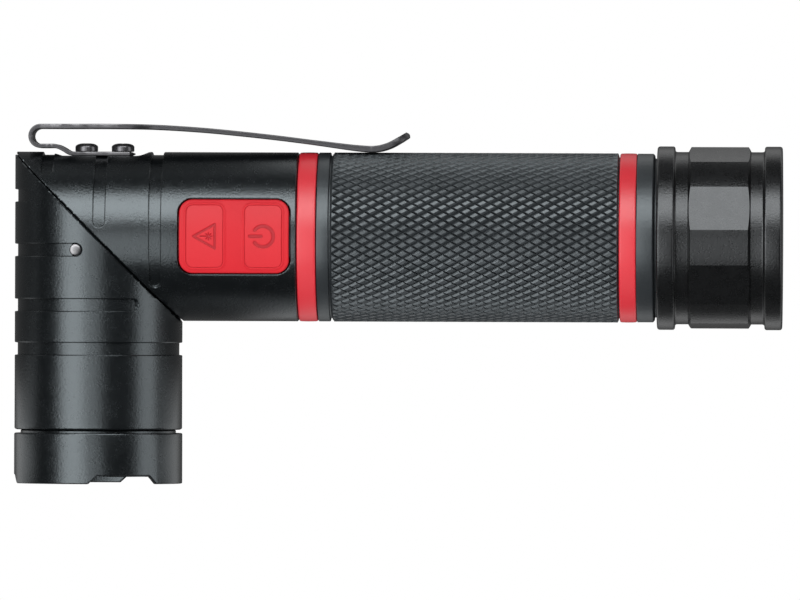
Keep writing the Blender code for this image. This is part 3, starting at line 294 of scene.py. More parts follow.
def newTree(name, kind=bpy.data.materials):
    owner = kind.new(name)
    owner.use_nodes = True
    owner.node_tree.nodes.clear()
    return owner, owner.node_tree


plainLook = {
    "metallic": 0.0, "ior": 1.5, "tint": (1.0, 1.0, 1.0), "stretch": None, "grainScale": 2500.0,
    "mottleScale": 90.0, "spread": 0.15, "wear": 0.0, "wornColour": None, "specks": 0.0,
    "speckColour": (0.25, 0.25, 0.26), "inkColour": None, "bump": 0.1, "bumpDepth": 0.00004,
}


def makeFinish(name, ownLook):
    # one recipe for every opaque finish: base colour with mottle, worn edges, specks, grain bump
    look = SimpleNamespace(**{**plainLook, **ownLook})
    material = bpy.data.materials.new(name)
    material.use_nodes = True
    tree = material.node_tree
    shader = tree.nodes["Principled BSDF"].inputs
    place = addNode(tree, "TexCoord").outputs["Object"]
    vector = place
    if look.stretch:
        vector = addNode(tree, "Mapping", {"Vector": place, "Scale": look.stretch}).outputs[0]
    grain = placeGroup(tree, grainGroup, {
        "Vector": vector, "Grain Scale": look.grainScale, "Mottle Scale": look.mottleScale,
        "Roughness": look.roughness, "Roughness Spread": look.spread})
    edge = placeGroup(tree, edgeGroup, {"Vector": place, "Amount": look.wear})
    dust = placeGroup(tree, dustGroup, {"Vector": place, "Amount": look.specks})
    colour = addColourMix(tree, grain["Mottle"], look.dark, look.light)
    colour = addColourMix(tree, edge["Mask"], colour, look.wornColour or look.light)
    colour = addColourMix(tree, dust["Mask"], colour, look.speckColour)
    # painted shade: a darker red laid into the debossed icons, read from the pads' icon attribute
    if look.inkColour:
        iconShade = addNode(tree, "Attribute", attribute_name="iconShade")
        colour = addColourMix(tree, iconShade.outputs["Fac"], colour, look.inkColour)
    bump = addNode(tree, "Bump", {"Height": grain["Height"], "Strength": look.bump,
                                  "Distance": look.bumpDepth})
    for socket, value in {"Metallic": look.metallic, "IOR": look.ior, "Specular Tint": (*look.tint, 1),
                          "Base Color": colour, "Roughness": grain["Roughness"],
                          "Normal": bump.outputs[0]}.items():
        setInput(tree, shader[socket], value)
    return material


finishLooks = {
    "blackAnodised": dict(dark=(0.001, 0.0013, 0.0015), light=(0.0022, 0.0026, 0.003), roughness=0.25,
        ior=1.62, tint=(0.84, 0.95, 1.0), bump=0.5, grainScale=2900.0, bumpDepth=0.000075,
        mottleScale=500.0, wear=0.05, wornColour=(0.04, 0.044, 0.048), specks=0.1,
        speckColour=(0.03, 0.034, 0.038), spread=0.25),
    "capAnodised": dict(dark=(0.0014, 0.0015, 0.0016), light=(0.003, 0.0031, 0.0033), roughness=0.29,
        tint=(0.93, 0.97, 1.0), bump=0.5, grainScale=2900.0, bumpDepth=0.000075, mottleScale=500.0,
        spread=0.25),
    "blackKnurl": dict(dark=(0.006, 0.007, 0.008), light=(0.012, 0.0135, 0.015), roughness=0.42, ior=1.62,
        tint=(0.86, 0.96, 1.0), bump=0.4, grainScale=1900.0, bumpDepth=0.00007, wear=0.4,
        wornColour=(0.05, 0.055, 0.06), spread=0.2),
    "redSilicone": dict(dark=(0.28, 0.008, 0.014), light=(0.33, 0.011, 0.018), roughness=0.4, bump=0.3,
        grainScale=1500.0, bumpDepth=0.00005, spread=0.2),
    "redBoot": dict(dark=(0.27, 0.005, 0.009), light=(0.31, 0.007, 0.012), roughness=0.6, ior=1.28,
        bump=0.4, grainScale=1500.0, bumpDepth=0.00006, spread=0.2),
    # the pads carry a darker red painted into their debossed icons as shade
    "redPad": dict(dark=(0.275, 0.006, 0.01), light=(0.32, 0.008, 0.013), roughness=0.55, ior=1.32,
        bump=0.4, grainScale=1500.0, bumpDepth=0.00006, spread=0.2, inkColour=(0.2, 0.004, 0.008)),
    "clipSteel": dict(dark=(0.035, 0.035, 0.037), light=(0.06, 0.06, 0.064), roughness=0.33,
        metallic=0.85, bump=0.12, stretch=(0.12, 1.0, 1.0), grainScale=3000.0, wear=0.4,
        wornColour=(0.3, 0.3, 0.31)),
    "screwSteel": dict(dark=(0.055, 0.055, 0.06), light=(0.09, 0.09, 0.095), roughness=0.3, metallic=0.9,
        bump=0.1, wear=0.5, wornColour=(0.35, 0.35, 0.36)),
    "brightSteel": dict(dark=(0.5, 0.5, 0.51), light=(0.66, 0.66, 0.67), roughness=0.25, metallic=1.0,
        bump=0.08),
    "pinSteel": dict(dark=(0.13, 0.13, 0.135), light=(0.22, 0.22, 0.225), roughness=0.38, metallic=1.0,
        bump=0.3, spread=0.2),
    "nickelPlate": dict(dark=(0.52, 0.51, 0.49), light=(0.63, 0.62, 0.6), roughness=0.2, metallic=1.0,
        bump=0.05, mottleScale=140.0, spread=0.2),
    "sealRubber": dict(dark=(0.008, 0.008, 0.008), light=(0.016, 0.016, 0.016), roughness=0.6, bump=0.2,
        specks=0.1),
    "brassWire": dict(dark=(0.62, 0.45, 0.19), light=(0.78, 0.6, 0.3), roughness=0.25, metallic=1.0,
        bump=0.06),
    "boardGreen": dict(dark=(0.008, 0.06, 0.02), light=(0.015, 0.1, 0.035), roughness=0.35),
    "blackPlastic": dict(dark=(0.01, 0.01, 0.01), light=(0.02, 0.02, 0.02), roughness=0.5, bump=0.2),
    "whiteBoard": dict(dark=(0.6, 0.6, 0.57), light=(0.75, 0.75, 0.72), roughness=0.45),
    "redWire": dict(dark=(0.35, 0.01, 0.01), light=(0.5, 0.02, 0.02), roughness=0.45),
    "cellSleeve": dict(dark=(0.14, 0.17, 0.22), light=(0.2, 0.24, 0.3), roughness=0.3, bump=0.05,
        metallic=0.4),
    "mirrorCoat": dict(dark=(0.78, 0.78, 0.79), light=(0.88, 0.88, 0.89), roughness=0.08, metallic=1.0,
        bump=0.12, grainScale=500.0, spread=0.05),
    "phosphorGel": dict(dark=(0.75, 0.58, 0.05), light=(0.9, 0.72, 0.1), roughness=0.3,
        grainScale=1500.0),
    "bareAluminium": dict(dark=(0.6, 0.6, 0.62), light=(0.72, 0.72, 0.74), roughness=0.3, metallic=1.0,
        bump=0.1),
}
finishes = {name: makeFinish(name, look) for name, look in finishLooks.items()}


def makeClearLens():
    # a thin clear disc: mostly see-through, with reflections that grow towards the edge
    material, tree = newTree("clearLens")
    through = addNode(tree, "BsdfTransparent", {"Color": (0.93, 0.97, 0.96, 1)})
    smear = addNoise(tree, addNode(tree, "TexCoord").outputs["Object"], 260.0, 4.0)
    ripple = addNode(tree, "Bump", {"Height": smear, "Strength": 0.03, "Distance": 0.00005})
    gloss = addNode(tree, "BsdfGlossy", {"Roughness": 0.03, "Normal": ripple.outputs[0]})
    edge = addNode(tree, "Fresnel", {"IOR": 1.5})
    mix = addShaderMix(tree, edge.outputs[0], through, gloss)
    addNode(tree, "OutputMaterial", {"Surface": mix.outputs[0]})
    return material


finishes["clearLens"] = makeClearLens()
print("finishes ready:", len(finishes))

studio = {
    "viewCentre": (54.3, -11.3), "frameWidth": 144.0, "viewDistance": 2600.0, "yaw": 2.0, "roll": 0.2,
    "lampDistance": 1200.0,
    "floorSize": 9000.0, "floorGlow": 0.12, "spillGlow": 0.95, "spillBand": (22, 38, 70),
    "floorDrop": 0.2, "roomSeen": 1.0, "roomFill": 0.4, "roomMirrored": 0.03,
}


def makeCamera():
    lens = bpy.data.cameras.new("mainCamera")
    camera = bpy.data.objects.new("mainCamera", lens)
    bpy.context.collection.objects.link(camera)
    yaw = math.radians(studio["yaw"])
    distance = studio["viewDistance"] * mm
    lens.sensor_width = 36.0
    lens.lens = 36.0 * studio["viewDistance"] / studio["frameWidth"]
    lens.clip_end = 20.0
    middle = axisCross + Vector((studio["viewCentre"][0] * mm, studio["viewCentre"][1] * mm, 0))
    toCamera = Vector((math.sin(yaw), 0, math.cos(yaw)))
    camera.location = middle + toCamera * distance
    rotation = Matrix.Rotation(yaw, 4, "Y") @ Matrix.Rotation(math.radians(studio["roll"]), 4, "Z")
    camera.rotation_euler = rotation.to_euler()
    bpy.context.scene.camera = camera


def makeFloor():
    half = studio["floorSize"] / 2
    floor = addMesh("studioFloor", [(-half, -half, 0), (half, -half, 0), (half, half, 0), (-half, half, 0)],
                    [(0, 1, 2, 3)])
    floor.location = (axisCross.x, axisCross.y, -studio["floorDrop"] * mm)
    material, tree = newTree("paleFloor")
    seen = addNode(tree, "Emission", {"Strength": 1.0})
    # the spill of light beside the torch: distance from its two axes, then a soft band
    place = addNode(tree, "TexCoord").outputs["Object"]
    apart = addNode(tree, "SeparateXYZ", {"Vector": place}).outputs
    near = addMath(tree, "MINIMUM", *(addMath(tree, "ABSOLUTE", apart[axis]) for axis in "XY"))
    inner, peak, outer = (distance * mm for distance in studio["spillBand"])
    rising, falling = (addRange(tree, near, foot, peak, interpolation_type="SMOOTHSTEP")
                       for foot in (inner, outer))
    band = addMath(tree, "MULTIPLY", rising, falling)
    glow = addMath(tree, "MULTIPLY_ADD", band, studio["spillGlow"], studio["floorGlow"])
    bounced = addNode(tree, "Emission", {"Strength": glow})
    mix = addShaderMix(tree, addNode(tree, "LightPath").outputs["Is Camera Ray"], bounced, seen)
    addNode(tree, "OutputMaterial", {"Surface": mix.outputs[0]})
    floor.data.materials.append(material)


def makeSoftbox(name, aside, above, wide, tall, radiance, diffuseOnly=False):
    # a flat lamp seen from the torch at two angles off the vertical, and of that many degrees across
    distance = studio["lampDistance"] * mm
    data = bpy.data.lights.new(name, "AREA")
    data.shape = "RECTANGLE"
    data.size = 2 * distance * math.tan(math.radians(wide / 2))
    data.size_y = 2 * distance * math.tan(math.radians(tall / 2))
    data.energy = radiance * math.pi * data.size * data.size_y
    lamp = bpy.data.objects.new(name, data)
    bpy.context.collection.objects.link(lamp)
    turn = Matrix.Rotation(math.radians(aside), 3, "Y") @ Matrix.Rotation(-math.radians(above), 3, "X")
    lamp.location = axisCross + Vector((40 * mm, 0, 0)) + turn @ Vector((0, 0, distance))
    lamp.rotation_euler = turn.to_euler()
    lamp.visible_camera = False
    lamp.visible_glossy = not diffuseOnly


def makeWorld():
    # a white room to the eye, and only a little fill to the surfaces
    world, tree = newTree("softRoom", bpy.data.worlds)
    bpy.context.scene.world = world
    seen, fill, mirrored = (addNode(tree, "Background", {"Color": (1, 1, 1, 1), "Strength": strength})
                            for strength in (studio["roomSeen"], studio["roomFill"], studio["roomMirrored"]))
    path = addNode(tree, "LightPath").outputs
    lit = addShaderMix(tree, path["Is Glossy Ray"], fill, mirrored)
    mix = addShaderMix(tree, path["Is Camera Ray"], lit, seen)
    addNode(tree, "OutputWorld", {"Surface": mix.outputs[0]})


makeCamera()
makeFloor()
makeSoftbox("upperSoftbox", 0, 41, 62, 37, 6.0)
makeSoftbox("leftSoftbox", -34, -4, 34, 60, 4.6)
makeSoftbox("frontFill", -5, -14, 16, 40, 2.6)
makeSoftbox("rightStrip", 73, 0, 30, 60, 2.4)
makeSoftbox("lowerFill", 0, -64, 60, 44, 4.8, diffuseOnly=True)
makeWorld()
bpy.context.scene.view_settings.view_transform = "Standard"
print("studio ready")

bodyShell = {
    "radius": 15.2, "end": 36.1, "splitGap": 0.11, "splitBevel": 0.22, "endBevel": 0.22,
    "seatInset": 0.75, "seatRise": 0.18, "bevelSteps": 3, "neckTaper": 0.0,
    "slotWidth": 2.15, "slotDepth": 0.54, "slots": ((-8.9, 47), (0.75, 5.7), (10.75, -37.6)),
    "bootMiddle": 25.0, "bootLength": 20.25, "bootWidth": 13.65, "bootCorner": 2.65, "bootDepth": 3.0,
    "bore": 11.4, "wall": 3.0, "neck": 13.1, "neckEnd": 46.0, "clipRamp": 0.32,
    "clipFlat": 14.45, "clipFlatFrom": -6.6, "clipFlatTo": 6.75, "clipRunout": 9.1,
}


def grooveDepth(distance, depth):
    # a milled groove: fine bevel outside the wall, then a steep wall
    return np.interp(distance, [-0.09, -0.01, 0.1], [depth, 0.07, 0.0])


def stadiumDistance(xs, angles, middle, width, centreAngle, halfSpan, radius):
    swing = (angles - centreAngle + math.pi) % (2 * math.pi) - math.pi
    along = np.abs(swing) * radius
    straight = halfSpan * radius - width / 2
    return np.hypot(np.maximum(along - straight, 0), xs - middle) - width / 2


def linesRound(middle, half, inner=0.3):
    # grid lines that follow both walls of a groove
    near = [half + 0.1, half + 0.01, half - 0.01, half - 0.09]
    lines = [middle + side * step for step in near for side in (-1, 1)]
    return lines + list(np.arange(middle - half + 0.2, middle + half - 0.1, inner))


def slotLines(slots, width, radius, centreAngle):
    xs, angles = [], []
    for middle, frontAngle in slots:
        xs += linesRound(middle, width / 2, 0.14)
        halfSpan = abs(centreAngle - frontAngle)
        for end in (centreAngle - halfSpan, centreAngle + halfSpan):
            inward = 1 if end < centreAngle else -1
            angles += list(end + inward * np.arange(-0.2, 1.35, 0.075) / radius)
    return xs, angles


def addSplitEnd(piece, normal, offset, bevel, seatRise=0.0):
    # cuts the barrel at 45 degrees, bevels the rim and closes the face
    bm = bmesh.new()
    bm.from_mesh(piece.data)
    every = bm.verts[:] + bm.edges[:] + bm.faces[:]
    bmesh.ops.bisect_plane(bm, geom=every, dist=1e-8, plane_co=normal * (offset + bevel) * mm,
                           plane_no=normal)
    every = bm.verts[:] + bm.edges[:] + bm.faces[:]
    cut = bmesh.ops.bisect_plane(bm, geom=every, dist=1e-8, plane_co=normal * offset * mm, plane_no=-normal,
                                 clear_outer=True)
    rim = [item for item in cut["geom_cut"] if isinstance(item, bmesh.types.BMVert)]
    edges = [item for item in cut["geom_cut"] if isinstance(item, bmesh.types.BMEdge)]
    for vert in rim:
        radius = math.hypot(vert.co.y, vert.co.z)
        shrink = (radius - bevel * mm) / radius
        vert.co.y *= shrink
        vert.co.z *= shrink
        vert.co.x = (offset * mm - vert.co.y * normal.y) / normal.x
    made = bmesh.ops.contextual_create(bm, geom=edges)["faces"]
    bmesh.ops.recalc_face_normals(bm, faces=bm.faces)
    if seatRise:  # a raised seat inside the rim, which keeps daylight out of the gap
        bmesh.ops.inset_individual(bm, faces=made, thickness=bodyShell["seatInset"] * mm, depth=seatRise * mm)
    bmesh.ops.triangulate(bm, faces=[face for face in bm.faces if len(face.verts) > 4])
    bm.to_mesh(piece.data)
    bm.free()
    piece.data.shade_smooth()
    piece.data.set_sharp_from_angle(angle=math.radians(32))


def closeRing(points, faces, rows, columns, row, x):
    # a flat end on a barrel, from one row of the grid to the axis
    points.append((x, 0, 0))
    centre = len(points) - 1
    for column in range(columns):
        faces.append([centre, row * columns + column, row * columns + (column + 1) % columns])


def makeBarrel(name, xs, angles, radii, material, turn, sharpAngle=32):
    grid = aroundTube(xs, angles, radii)
    points = [tuple(point) for point in grid.reshape(-1, 3)]
    faces = skinFaces(*radii.shape)
    closeRing(points, faces, *radii.shape, 0, grid[0, 0, 0])
    closeRing(points, faces, *radii.shape, radii.shape[0] - 1, grid[-1, 0, 0])
    return addMesh(name, points, faces, material, turn, sharpAngle)


def startShell(size, centreAngle, xs, angles):
    # a housing's grid with its slots milled in; xs and angles are the lines that its other details need
    slots = [(middle, math.radians(front)) for middle, front in size.slots]
    slotXs, slotAngles = slotLines(slots, size.slotWidth, size.radius, centreAngle)
    barrelEnd = size.end - size.endBevel
    xs = [x for x in [*np.arange(-17.0, barrelEnd, 1.2), *slotXs, *xs] if x < barrelEnd]
    xs += list(size.end - size.endBevel * (1 - np.linspace(0, 1, size.bevelSteps)))
    around = np.linspace(-math.pi / 2, 1.5 * math.pi, 250, endpoint=False)
    slotAngles = [(angle + math.pi / 2) % (2 * math.pi) - math.pi / 2 for angle in slotAngles]
    angles = tidyLines([*around, *slotAngles, *angles], 0.0009)
    gridX, gridAngle = np.meshgrid(tidyLines(xs), angles, indexing="ij")
    depth = np.zeros_like(gridX)
    for middle, front in slots:
        distance = stadiumDistance(gridX, gridAngle, middle, size.slotWidth, centreAngle,
                                   abs(centreAngle - front), size.radius)
        depth = np.maximum(depth, grooveDepth(distance, size.slotDepth))
    return gridX, gridAngle, depth


def finishShell(part, body, size, gridX, gridAngle, radii, turn, normal, *openings):
    # cuts the split and the bore, and adds the neck that the next piece is screwed on
    shell = makeBarrel(f"{part}Shell", gridX, gridAngle[0], radii, finishes["blackAnodised"], turn)
    addSplitEnd(shell, normal, size.splitGap, size.splitBevel, size.seatRise)
    far = size.end + 3
    bore = turned(f"{part}BoreCutter", [(-20, 0), (-20, size.bore), (far, size.bore), (far, 0)],
                  turn=turn, columns=96)
    addSplitEnd(bore, normal, size.splitGap + size.wall, 0.0)
    cutWith(shell, bore, *openings)
    rideAs(shell, body, f"{part}_housing", slot="black_anodised")
    foot = size.end + 0.02
    profile = [(foot, size.bore), (foot, size.neck), (size.neckEnd, size.neck - size.neckTaper),
               (size.neckEnd, size.bore)]
    neck = turned(f"{part}Neck", roundedProfile(profile, 0.3), finishes["blackAnodised"], turn, 96)
    rideAs(neck, body, slot="black_anodised")


def makeBodyShell():
    size = SimpleNamespace(**bodyShell)
    radius, topAngle = size.radius, math.pi / 2
    bootHalfX, bootHalfY = size.bootLength / 2, size.bootWidth / 2
    bootAngle = math.asin(bootHalfY / radius)
    cornerAngle = math.asin((bootHalfY - size.bootCorner) / radius)
    flatAngle = math.acos(size.clipFlat / radius)
    xs = linesRound(size.bootMiddle, bootHalfX, 40)
    xs += list(np.arange(size.clipFlatFrom - 3.2, size.clipFlatFrom + 0.2, 0.25))
    xs += list(np.arange(size.clipFlatTo, size.clipRunout + 0.3, 0.25))
    angles = []
    for side in (-1, 1):
        corner = size.bootMiddle + side * (bootHalfX - size.bootCorner)
        xs += list(corner + side * np.arange(0, size.bootCorner + 0.05, 0.13))
        angles += [side * (bootAngle + step / radius) for step in (-0.09, -0.01, 0.01, 0.1)]
        angles += list(side * np.arange(cornerAngle, bootAngle + 0.002, 0.13 / radius))
        angles += [topAngle + side * (flatAngle + step) for step in (-0.004, 0, 0.004)]
    gridX, gridAngle, depth = startShell(size, topAngle, xs, angles)
    boot = roundedBoxDistance(gridX - size.bootMiddle, radius * np.sin(gridAngle), bootHalfX, bootHalfY,
                              size.bootCorner)
    boot = np.where(np.cos(gridAngle) > 0, boot, 1.0)
    depth = np.maximum(depth, np.interp(boot, [-0.08, 0.0, 0.12], [size.bootDepth, 0.09, 0.0]))
    depth = np.maximum(depth, np.clip(gridX - (size.end - size.endBevel), 0, None))
    # the flat that the clip's foot is screwed to, with a scooped run-out towards the grip
    away = np.maximum(size.clipFlatFrom - gridX, 0) * size.clipRamp
    scoop = np.clip((gridX - size.clipFlatTo) / (size.clipRunout - size.clipFlatTo), 0, 3)
    flatHeight = size.clipFlat + away + (radius - size.clipFlat) * scoop ** 2
    fromTop = np.cos(gridAngle - topAngle)
    flatRadius = np.where(fromTop > 0.5, flatHeight / np.maximum(fromTop, 0.5), 99)
    halfX, halfY = bootHalfX - 0.5, bootHalfY - 0.5
    opening = boxMesh("openingCutter", (size.bootMiddle - halfX, -halfY, size.bore * 0.6),
                      (size.bootMiddle + halfX, halfY, radius - size.bootDepth + 0.6))
    finishShell("body", "root", size, gridX, gridAngle, np.minimum(radius - depth, flatRadius), (0, 0, 0),
                splitNormal, opening)


makeBodyShell()
print("body housing made")

bootLook = {
    "middle": 25.0, "length": 19.7, "width": 13.2, "corner": 2.42, "top": 15.42, "floor": 12.4,
    "padLength": 6.6, "padWidth": 11.2, "padCorner": 1.25, "padSpacing": 10.5, "padTop": 15.5,
    "padFloor": 13.7, "padGap": 0.02, "ridgeHeight": 0.16, "ridgeWidth": 0.44, "iconDepth": 0.16,
}


def coverGrid(middle, halfX, halfY, step):
    countX = int(2 * halfX / step) + 1
    countY = int(2 * halfY / step) + 1
    xs = np.linspace(-halfX, halfX, countX)
    ys = np.linspace(-halfY, halfY, countY)
    return np.meshgrid(xs, ys, indexing="ij")


def squareToRounded(u, v, halfX, halfY, corner):
    # moves a full rectangle's grid so that its rim follows the round corners
    x, y = u.copy(), v.copy()
    overX = np.clip(np.abs(u) - (halfX - corner), 0, None)
    overY = np.clip(np.abs(v) - (halfY - corner), 0, None)
    a, b = overX / corner, overY / corner
    inCorner = (a > 0) & (b > 0)
    roundX = a * np.sqrt(np.clip(1 - b * b / 2, 0, 1))
    roundY = b * np.sqrt(np.clip(1 - a * a / 2, 0, 1))
    x = np.where(inCorner, np.sign(u) * (halfX - corner + corner * roundX), x)
    y = np.where(inCorner, np.sign(v) * (halfY - corner + corner * roundY), y)
    return x, y


def makeCover(name, middle, halfX, halfY, corner, height, floor, step, material, rounding):
    # a curved cover on the tube: height(x, y) is its radius, and floor the radius of its underside
    u, v = coverGrid(middle, halfX, halfY, step)
    x, y = squareToRounded(u, v, halfX, halfY, corner)
    rows, columns = x.shape
    rim = -roundedBoxDistance(x, y, halfX, halfY, corner)
    drop = rounding - np.sqrt(np.clip(rounding ** 2 - np.clip(rounding - rim, 0, rounding) ** 2, 0, None))
    top = height(x, y) - drop
    topZ = np.sqrt(top ** 2 - np.minimum(y ** 2, top ** 2 - 1))
    lowZ = np.sqrt(floor ** 2 - np.minimum(y ** 2, floor ** 2 - 1))
    upper = np.stack([x + middle, y, topZ], axis=-1).reshape(-1, 3)
    lower = np.stack([x + middle, y, lowZ], axis=-1).reshape(-1, 3)
    faces = skinFaces(rows, columns, wrapColumns=False)
    count = rows * columns
    faces += [[count + corner for corner in reversed(face)] for face in faces]
    index = np.arange(count).reshape(rows, columns)
    border = list(index[0, :]) + list(index[1:, -1]) + list(index[-1, -2::-1]) + list(index[-2:0:-1, 0])
    for here, following in zip(border, border[1:] + border[:1]):
        faces.append([int(here), int(following), int(following + count), int(here + count)])
    return addMesh(name, np.vstack([upper, lower]), faces, material, sharpAngle=50), x, y


def segmentDistance(x, y, start, end):
    px, py = x - start[0], y - start[1]
    dx, dy = end[0] - start[0], end[1] - start[1]
    share = np.clip((px * dx + py * dy) / (dx * dx + dy * dy), 0, 1)
    return np.hypot(px - share * dx, py - share * dy)


def powerIcon(x, y):
    # a ring open towards -X with a bar through the gap
    centreX, radius, stroke = 0.0, 1.85, 0.30
    angle = np.arctan2(y, -(x - centreX))
    ring = np.abs(np.hypot(x - centreX, y) - radius)
    gap = math.radians(38)
    endX, endY = centreX - radius * math.cos(gap), radius * math.sin(gap)
    caps = np.minimum(np.hypot(x - endX, y - endY), np.hypot(x - endX, y + endY))
    ring = np.where(np.abs(angle) > gap, ring, caps)
    bar = segmentDistance(x, y, (centreX - 2.35, 0), (centreX - 0.35, 0))
    return np.minimum(ring, bar) - stroke


def beamIcon(x, y):
    # a warning triangle that points to -X, with a plain ray burst inside
    tip, left, right = (-1.95, 0), (1.85, -2.15), (1.85, 2.15)
    outline = np.minimum(np.minimum(segmentDistance(x, y, tip, left), segmentDistance(x, y, left, right)),
                         segmentDistance(x, y, right, tip)) - 0.2
    burst = np.full_like(x, 9.0)
    centreX, reach = 0.75, 0.66
    for ray in range(4):
        angle = ray * math.pi / 4
        dx, dy = reach * math.cos(angle), reach * math.sin(angle)
        burst = np.minimum(burst, segmentDistance(x, y, (centreX - dx, -dy), (centreX + dx, dy)) - 0.08)
    ray = segmentDistance(x, y, (centreX - 1.5, 0), (centreX, 0)) - 0.1
    return np.minimum(outline, np.minimum(burst, ray))


def makeBoot():
    size = SimpleNamespace(**bootLook)
    padHalfX, padHalfY = size.padLength / 2, size.padWidth / 2
    padAt = size.padSpacing / 2

    def bootHeight(x, y):
        height = np.full_like(x, size.top)
        for side in (-1, 1):
            away = roundedBoxDistance(x - side * padAt, y, padHalfX, padHalfY, size.padCorner)
            ridge = np.exp(-((away - size.ridgeWidth / 2) / (size.ridgeWidth * 0.42)) ** 2)
            height = height + size.ridgeHeight * np.where(away > -0.3, ridge, 0)
        return height

    boot, _, _ = makeCover("switchBoot", size.middle, size.length / 2, size.width / 2, size.corner,
                           bootHeight, size.floor, 0.11, finishes["redBoot"], 0.3)
    holes = []
    gap = size.padGap
    for side in (-1, 1):
        outline = []
        halfX, halfY, corner = padHalfX + gap, padHalfY + gap, size.padCorner + gap
        for quarter, (signX, signY) in enumerate(((1, 1), (-1, 1), (-1, -1), (1, -1))):
            for step in range(9):
                angle = (quarter + step / 8) * math.pi / 2
                x = signX * (halfX - corner) + corner * math.cos(angle)
                y = signY * (halfY - corner) + corner * math.sin(angle)
                outline.append((size.middle + side * padAt + x, y))
        count = len(outline)
        points = [(px, py, z) for z in (8.0, 18.0) for px, py in outline]
        faces = [list(range(count)), list(range(2 * count - 1, count - 1, -1))]
        faces += [[i, (i + 1) % count, count + (i + 1) % count, count + i] for i in range(count)]
        holes.append(addMesh(f"padHole{side}", points, faces))
    cutWith(boot, *holes)
    rideAs(boot, "root", "switch_boot", slot="red_silicone")

    for name, side, icon in (("laser", -1, beamIcon), ("power", 1, powerIcon)):
        def padHeight(x, y, icon=icon):
            edge = np.clip(icon(x, y) / 0.12 + 0.5, 0, 1)
            return size.padTop - size.iconDepth * (1 - edge * edge * (3 - 2 * edge))

        pad, x, y = makeCover(f"{name}Pad", size.middle + side * padAt, padHalfX, padHalfY,
                              size.padCorner, padHeight, size.padFloor, 0.07, finishes["redPad"], 0.08)
        # painted shade: marks the debossed icon strokes, which the finish colours darker red
        iconShade = np.clip(0.5 - icon(x, y) / 0.1, 0, 1).reshape(-1)
        layer = pad.data.attributes.new("iconShade", "FLOAT", "POINT")
        layer.data.foreach_set("value", np.concatenate([iconShade, np.zeros_like(iconShade)]).astype(np.float32))
        rideAs(pad, f"{name}_button", f"{name}_button_pad", slot="red_silicone")


makeBoot()
print("switch boot made")

accentRings = {"inner": 13.65, "outer": 15.22, "corner": 0.35, "bow": 0.05,
               "frontAccentRing": (36.22, 39.6), "rearAccentRing": (93.92, 96.98)}


def makeAccentRing(name, node):
    start, end = accentRings[name]
    outer, bow = accentRings["outer"], accentRings["bow"]
    width = end - start
    profile = [(start, accentRings["inner"]), (start, outer - bow)]
    profile += [(start + width * share, outer - bow * (2 * share - 1) ** 2) for share in (0.25, 0.5, 0.75)]
    profile += [(end, outer - bow), (end, accentRings["inner"])]
    rideAs(turned(name, roundedProfile(profile, accentRings["corner"], 5), finishes["redSilicone"],
                  columns=192), "root", node, slot="red_silicone")


makeAccentRing("frontAccentRing", "front_accent_ring")
makeAccentRing("rearAccentRing", "rear_accent_ring")
print("accent rings made")

gripTube = {
    "radius": 15.22, "starts": 61, "rows": 36, "knurlFrom": 42.5, "knurlTo": 93.5, "depth": 0.42,
    "shoulderDepth": 0.2, "shoulder": (0.93, 0.8), "top": (0.68, 0.36), "neck": 14.3,
    "threadPitch": 1.25, "threadDepth": 0.38, "threadFrom": 103.4, "threadTo": 107.2, "profileCorner": 0.16,
    "front": ((39.72, 13.4), (39.72, 15.2), (41.85, 15.2), (41.85, 14.62), (42.2, 14.62), (42.22, 14.86),
              (42.4, 15.02)),
    "rear": ((93.6, 15.02), (93.68, 14.86), (93.7, 14.5), (93.88, 14.5), (93.88, 13.5), (97.02, 13.5),
             (97.02, 15.17), (99.9, 15.17), (100.2, 14.8), (100.2, 14.3), (101.8, 14.3), (101.8, 13.3),
             (103.3, 13.3), (103.3, 14.3)),
    "end": ((107.25, 14.0), (107.25, 11.85), (46.3, 11.85), (46.3, 13.4)),
}


def knurlColumns(shift):
    # five columns for each start: groove, shoulder, top, top, shoulder
    size = SimpleNamespace(**gripTube)
    half = math.pi / size.starts
    shoulder, top = sum(size.shoulder) / 2, sum(size.top) / 2
    angles = []
    for start in range(size.starts):
        centre = (2 * start + 1) * half + shift * half
        angles += [centre - half, centre - half * shoulder, centre - half * top, centre + half * top,
                   centre + half * shoulder]
    return np.array(angles)


